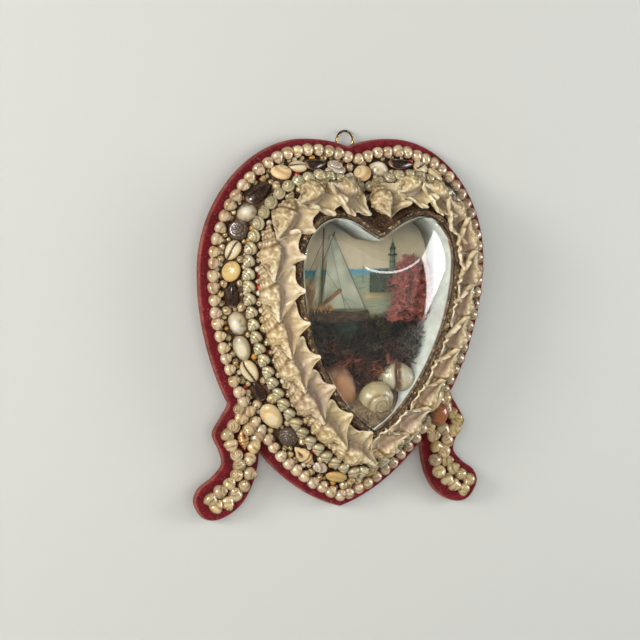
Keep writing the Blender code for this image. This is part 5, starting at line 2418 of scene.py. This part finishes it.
    def build_grass(self) -> None:
        """Build the dry yellow grass behind the boat."""
        luck = random.Random(61)
        shape = bmesh.new()
        for _ in range(240):
            bushy = luck.random() < 0.7
            x = luck.uniform(-49, -35) if bushy else luck.uniform(-38, -20)
            root = self.hearts.at(x, luck.uniform(12, 28 if bushy else 15), luck.uniform(18, 24))
            lean = luck.uniform(-1.2, 1.2)
            height = luck.uniform(4, 12 if bushy else 6) * MM
            line = [
                root + Vector((lean * t * t * height, luck.uniform(-0.5, 0.5) * MM, t * height))
                for t in (0, 0.35, 0.7, 1)
            ]
            tube(shape, line, [0.2 * MM, 0.2 * MM, 0.15 * MM, 0.06 * MM], 4)
        tint(shape, lambda v: blend(paint(182, 142, 88), paint(112, 78, 40), 0.5 + speckle(v.co, 3 * MM)))
        self.add(shape, "dry_grass", "dry_grass")

    def build_sand(self) -> None:
        """Build the bank of glittering sand that fills the heart's foot."""
        shape = bmesh.new()
        loop = self.hearts.loop(self.edge_share + 0.006, self.bank_foot * MM, 110)
        shares = (i / (self.bank_rings - 1) for i in range(self.bank_rings))
        skin(shape, [[self.drape(point, share) for point in loop] for share in shares], closed=False, capped=True)
        roughen(shape, 1.6, 0.35)
        self.add(shape, "sand_bank", "glittering_sand")

    def drape(self, point: Vector, share: float) -> Vector:
        """Draw a point of the bank's edge in towards its middle and raise it low down.

        Args:
            point: The point of the edge.
            share: How far in it is drawn.

        Returns:
            The point on the bank.
        """
        middle = self.hearts.at(0, -30, self.bank_foot)
        flat = Vector((point.x, middle.y, min(point.z, self.hearts.centre_z - 8 * MM)))
        drawn = flat.lerp(middle, share * 0.96)
        down = -(drawn.z - self.hearts.centre_z) / MM
        rise = 27 * ramp(down, 20, 54)
        return Vector((drawn.x, middle.y - rise * MM, drawn.z))

    def build_shells(self) -> None:
        """Build the three shells that lie on the sand."""
        at = self.hearts.at
        tan = DomedShell(paint(82, 50, 29), paint(112, 74, 44), paint(134, 90, 56), taper=0.1)
        coil = CoiledShell(paint(140, 126, 98), paint(86, 64, 40), paint(100, 78, 50), 44, 36, spire=0.8,
                           growth=1.95, depth=0.05, bands=2, band=paint(118, 96, 66), band_share=0.5, seam_edge=1.0)
        moon = Cowrie(paint(122, 104, 76), paint(150, 142, 122), paint(74, 46, 26), teeth=0, gape=0.19)
        shells = (
            ("tan_shell", "chalky_shell", tan, shift(*at(-21, -35, 34)) @ turn(60, "Y") @ turn(90, "X"),
             (16, 10.5, 8)),
            ("cream_shell", "porcelain_shell", coil, shift(*at(4.5, -44, 37)) @ turn(112, "X") @ turn(20, "Z"),
             (12.8, 12.8, 12.8)),
            ("lipped_shell", "porcelain_shell", moon,
             shift(*at(22, -30, 35)) @ turn(90, "X") @ turn(82, "Z") @ turn(-24, "X"), (10, 12.5, 9)),
        )
        for name, finish, form, seat, size in shells:
            shape = tinted_shape()
            add_copy(shape, form.build(name + "_one"), seat @ stretch(*(length * MM for length in size)))
            self.add(shape, name, finish)


# ---- The studio ------------------------------------------------------------------------


@dataclass(frozen=True)
class Lamp:
    """One soft rectangular light that faces the valentine, in metres and watts."""

    name: str
    place: Point3
    size: Point2
    power: float
    colour: Colour = WHITE
    tipped: float = 0.0
    mirrored: bool = True

    def hang(self) -> None:
        """Hang the light."""
        light = bpy.data.lights.new(self.name, "AREA")
        light.shape = "RECTANGLE"
        light.size, light.size_y = self.size
        light.energy = self.power
        light.color = self.colour
        thing = bpy.data.objects.new(self.name, light)
        bpy.context.scene.collection.objects.link(thing)
        aim = Vector((0, 0, -0.13)) - Vector(self.place)
        facing = aim.to_track_quat("-Z", "Y").to_matrix().to_4x4()
        thing.matrix_world = shift(*self.place) @ facing @ turn(self.tipped, "Z")
        thing.visible_glossy = self.mirrored


@dataclass
class Studio:
    """The floor, the pale backdrop, the soft lights and the camera, in metres and degrees."""

    turned: float = -32.0
    raised: float = 5.776
    rolled: float = 1.336
    stand: Point3 = (-0.95218, -1.52630, 0.05116)
    lens: float = 152.06
    aside: float = -0.0359
    up: float = 0.0120
    floor_z: float = -0.42
    wall_y: float = 0.0045
    floor_paint: Colour = (0.66, 0.66, 0.63)
    wall_paint: Colour = (0.495, 0.50, 0.475)
    room_colour: Colour = (0.90, 0.92, 0.95)
    room_light: float = 0.13
    room_seen: float = 0.55
    room_mirrored: float = 0.03
    lamps: tuple[Lamp, ...] = (
        Lamp("key", (-1.6, -1.9, 0.24), (1.1, 1.0), 34.0, (1.0, 0.98, 0.94), mirrored=False),
        Lamp("fill", (0.9, -2.3, 0.0), (2.4, 2.0), 16.0, (0.98, 0.99, 1.0), mirrored=False),
        Lamp("window", (1.265, -0.735, 0.03), (0.46, 0.78), 9.5, (0.97, 0.98, 1.0), 34.0),
        Lamp("strip", (1.13, -1.58, 0.31), (0.47, 0.06), 0.7),
        Lamp("side", (-2.05, -1.0, 0.38), (0.6, 0.6), 38.0, (1.0, 0.98, 0.95)),
        Lamp("back", (0.5, 1.9, 0.3), (1.4, 1.2), 14.0, mirrored=False),
    )

    def build(self) -> None:
        """Build the studio."""
        bpy.context.scene.view_settings.view_transform = "Standard"
        self.stage("floor", self.floor_paint, shift(0, 0, self.floor_z))
        self.build_wall()
        self.build_room()
        for lamp in self.lamps:
            lamp.hang()
        self.build_camera()

    def stage(self, name: str, colour: Colour, place: Matrix) -> tuple[bpy.types.Object, Dressing]:
        """Add a wide plain surface that isn't part of the valentine.

        Args:
            name: Its name.
            colour: Its paint.
            place: Where it lies.

        Returns:
            Its object and its material's dressing.
        """
        shape = bmesh.new()
        bmesh.ops.create_grid(shape, x_segments=1, y_segments=1, size=3, matrix=place)
        mesh = bpy.data.meshes.new(name)
        shape.to_mesh(mesh)
        shape.free()
        dress = Dressing(name + "_paint", Base_Color=(*colour, 1), Roughness=0.95, Specular_IOR_Level=0.1)
        mesh.materials.append(dress.material)
        thing = bpy.data.objects.new(name, mesh)
        bpy.context.scene.collection.objects.link(thing)
        thing.visible_shadow = False
        thing.visible_glossy = False
        return thing, dress

    def build_wall(self) -> None:
        """Build the backdrop, which is seen from the front alone."""
        wall, dress = self.stage("backdrop", self.wall_paint, shift(0, self.wall_y, 0) @ turn(90, "X"))
        wall.visible_diffuse = False
        behind = dress.node("NewGeometry").outputs["Backfacing"]
        clear = dress.node("BsdfTransparent").outputs[0]
        dress.surface(dress.node("MixShader", {0: behind, 1: dress.shader.outputs[0], 2: clear}).outputs[0])

    def build_room(self) -> None:
        """Fill the room with pale light, which mirrors hardly see."""
        world = bpy.data.worlds.new("pale_room")
        bpy.context.scene.world = world
        world.use_nodes = True
        nodes = Nodes(world.node_tree)
        background = world.node_tree.nodes["Background"]
        background.inputs["Color"].default_value = (*self.room_colour, 1)
        path = nodes.node("LightPath").outputs
        level = nodes.spread(path["Is Camera Ray"], (self.room_light, self.room_seen))
        shown = nodes.spread(path["Is Glossy Ray"], (level, self.room_mirrored))
        world.node_tree.links.new(shown, background.inputs["Strength"])

    def build_camera(self) -> None:
        """Set up the camera, a little to the left and nearly level."""
        azimuth, height, roll = (math.radians(a) for a in (self.turned, self.raised, self.rolled))
        back = Vector((math.sin(azimuth) * math.cos(height), -math.cos(azimuth) * math.cos(height), math.sin(height)))
        right = (-back).cross(Vector((0, 0, 1))).normalized()
        up = right.cross(-back)
        across = right * math.cos(roll) + up * math.sin(roll)
        upward = up * math.cos(roll) - right * math.sin(roll)
        camera = bpy.data.objects.new("camera", bpy.data.cameras.new("camera"))
        camera.data.lens = self.lens
        camera.data.sensor_width = 36
        camera.data.shift_x, camera.data.shift_y = self.aside, self.up
        camera.data.clip_end = 20
        matrix = Matrix((across, upward, back)).transposed().to_4x4()
        matrix.translation = Vector(self.stand)
        camera.matrix_world = matrix
        bpy.context.scene.collection.objects.link(camera)
        bpy.context.scene.camera = camera


# ---- The whole valentine ---------------------------------------------------------------


def main() -> None:
    """Build the looks in order, from the board outward, and report each piece."""
    logging.basicConfig(level=logging.INFO, format="%(name)s: %(message)s")
    noise.seed_set(NOISE_SEED)
    hearts, maker, spots = HeartFamily(), Maker(), Spots()
    order = (Backing, Ground, Hanger, PearlRows, MiddleRow, PelicanRow, FootShells, Fillers, Harbour, Glazing)
    for assembly in order:
        assembly(hearts, maker, spots).build()
    Studio().build()


if __name__ == "__main__":
    main()
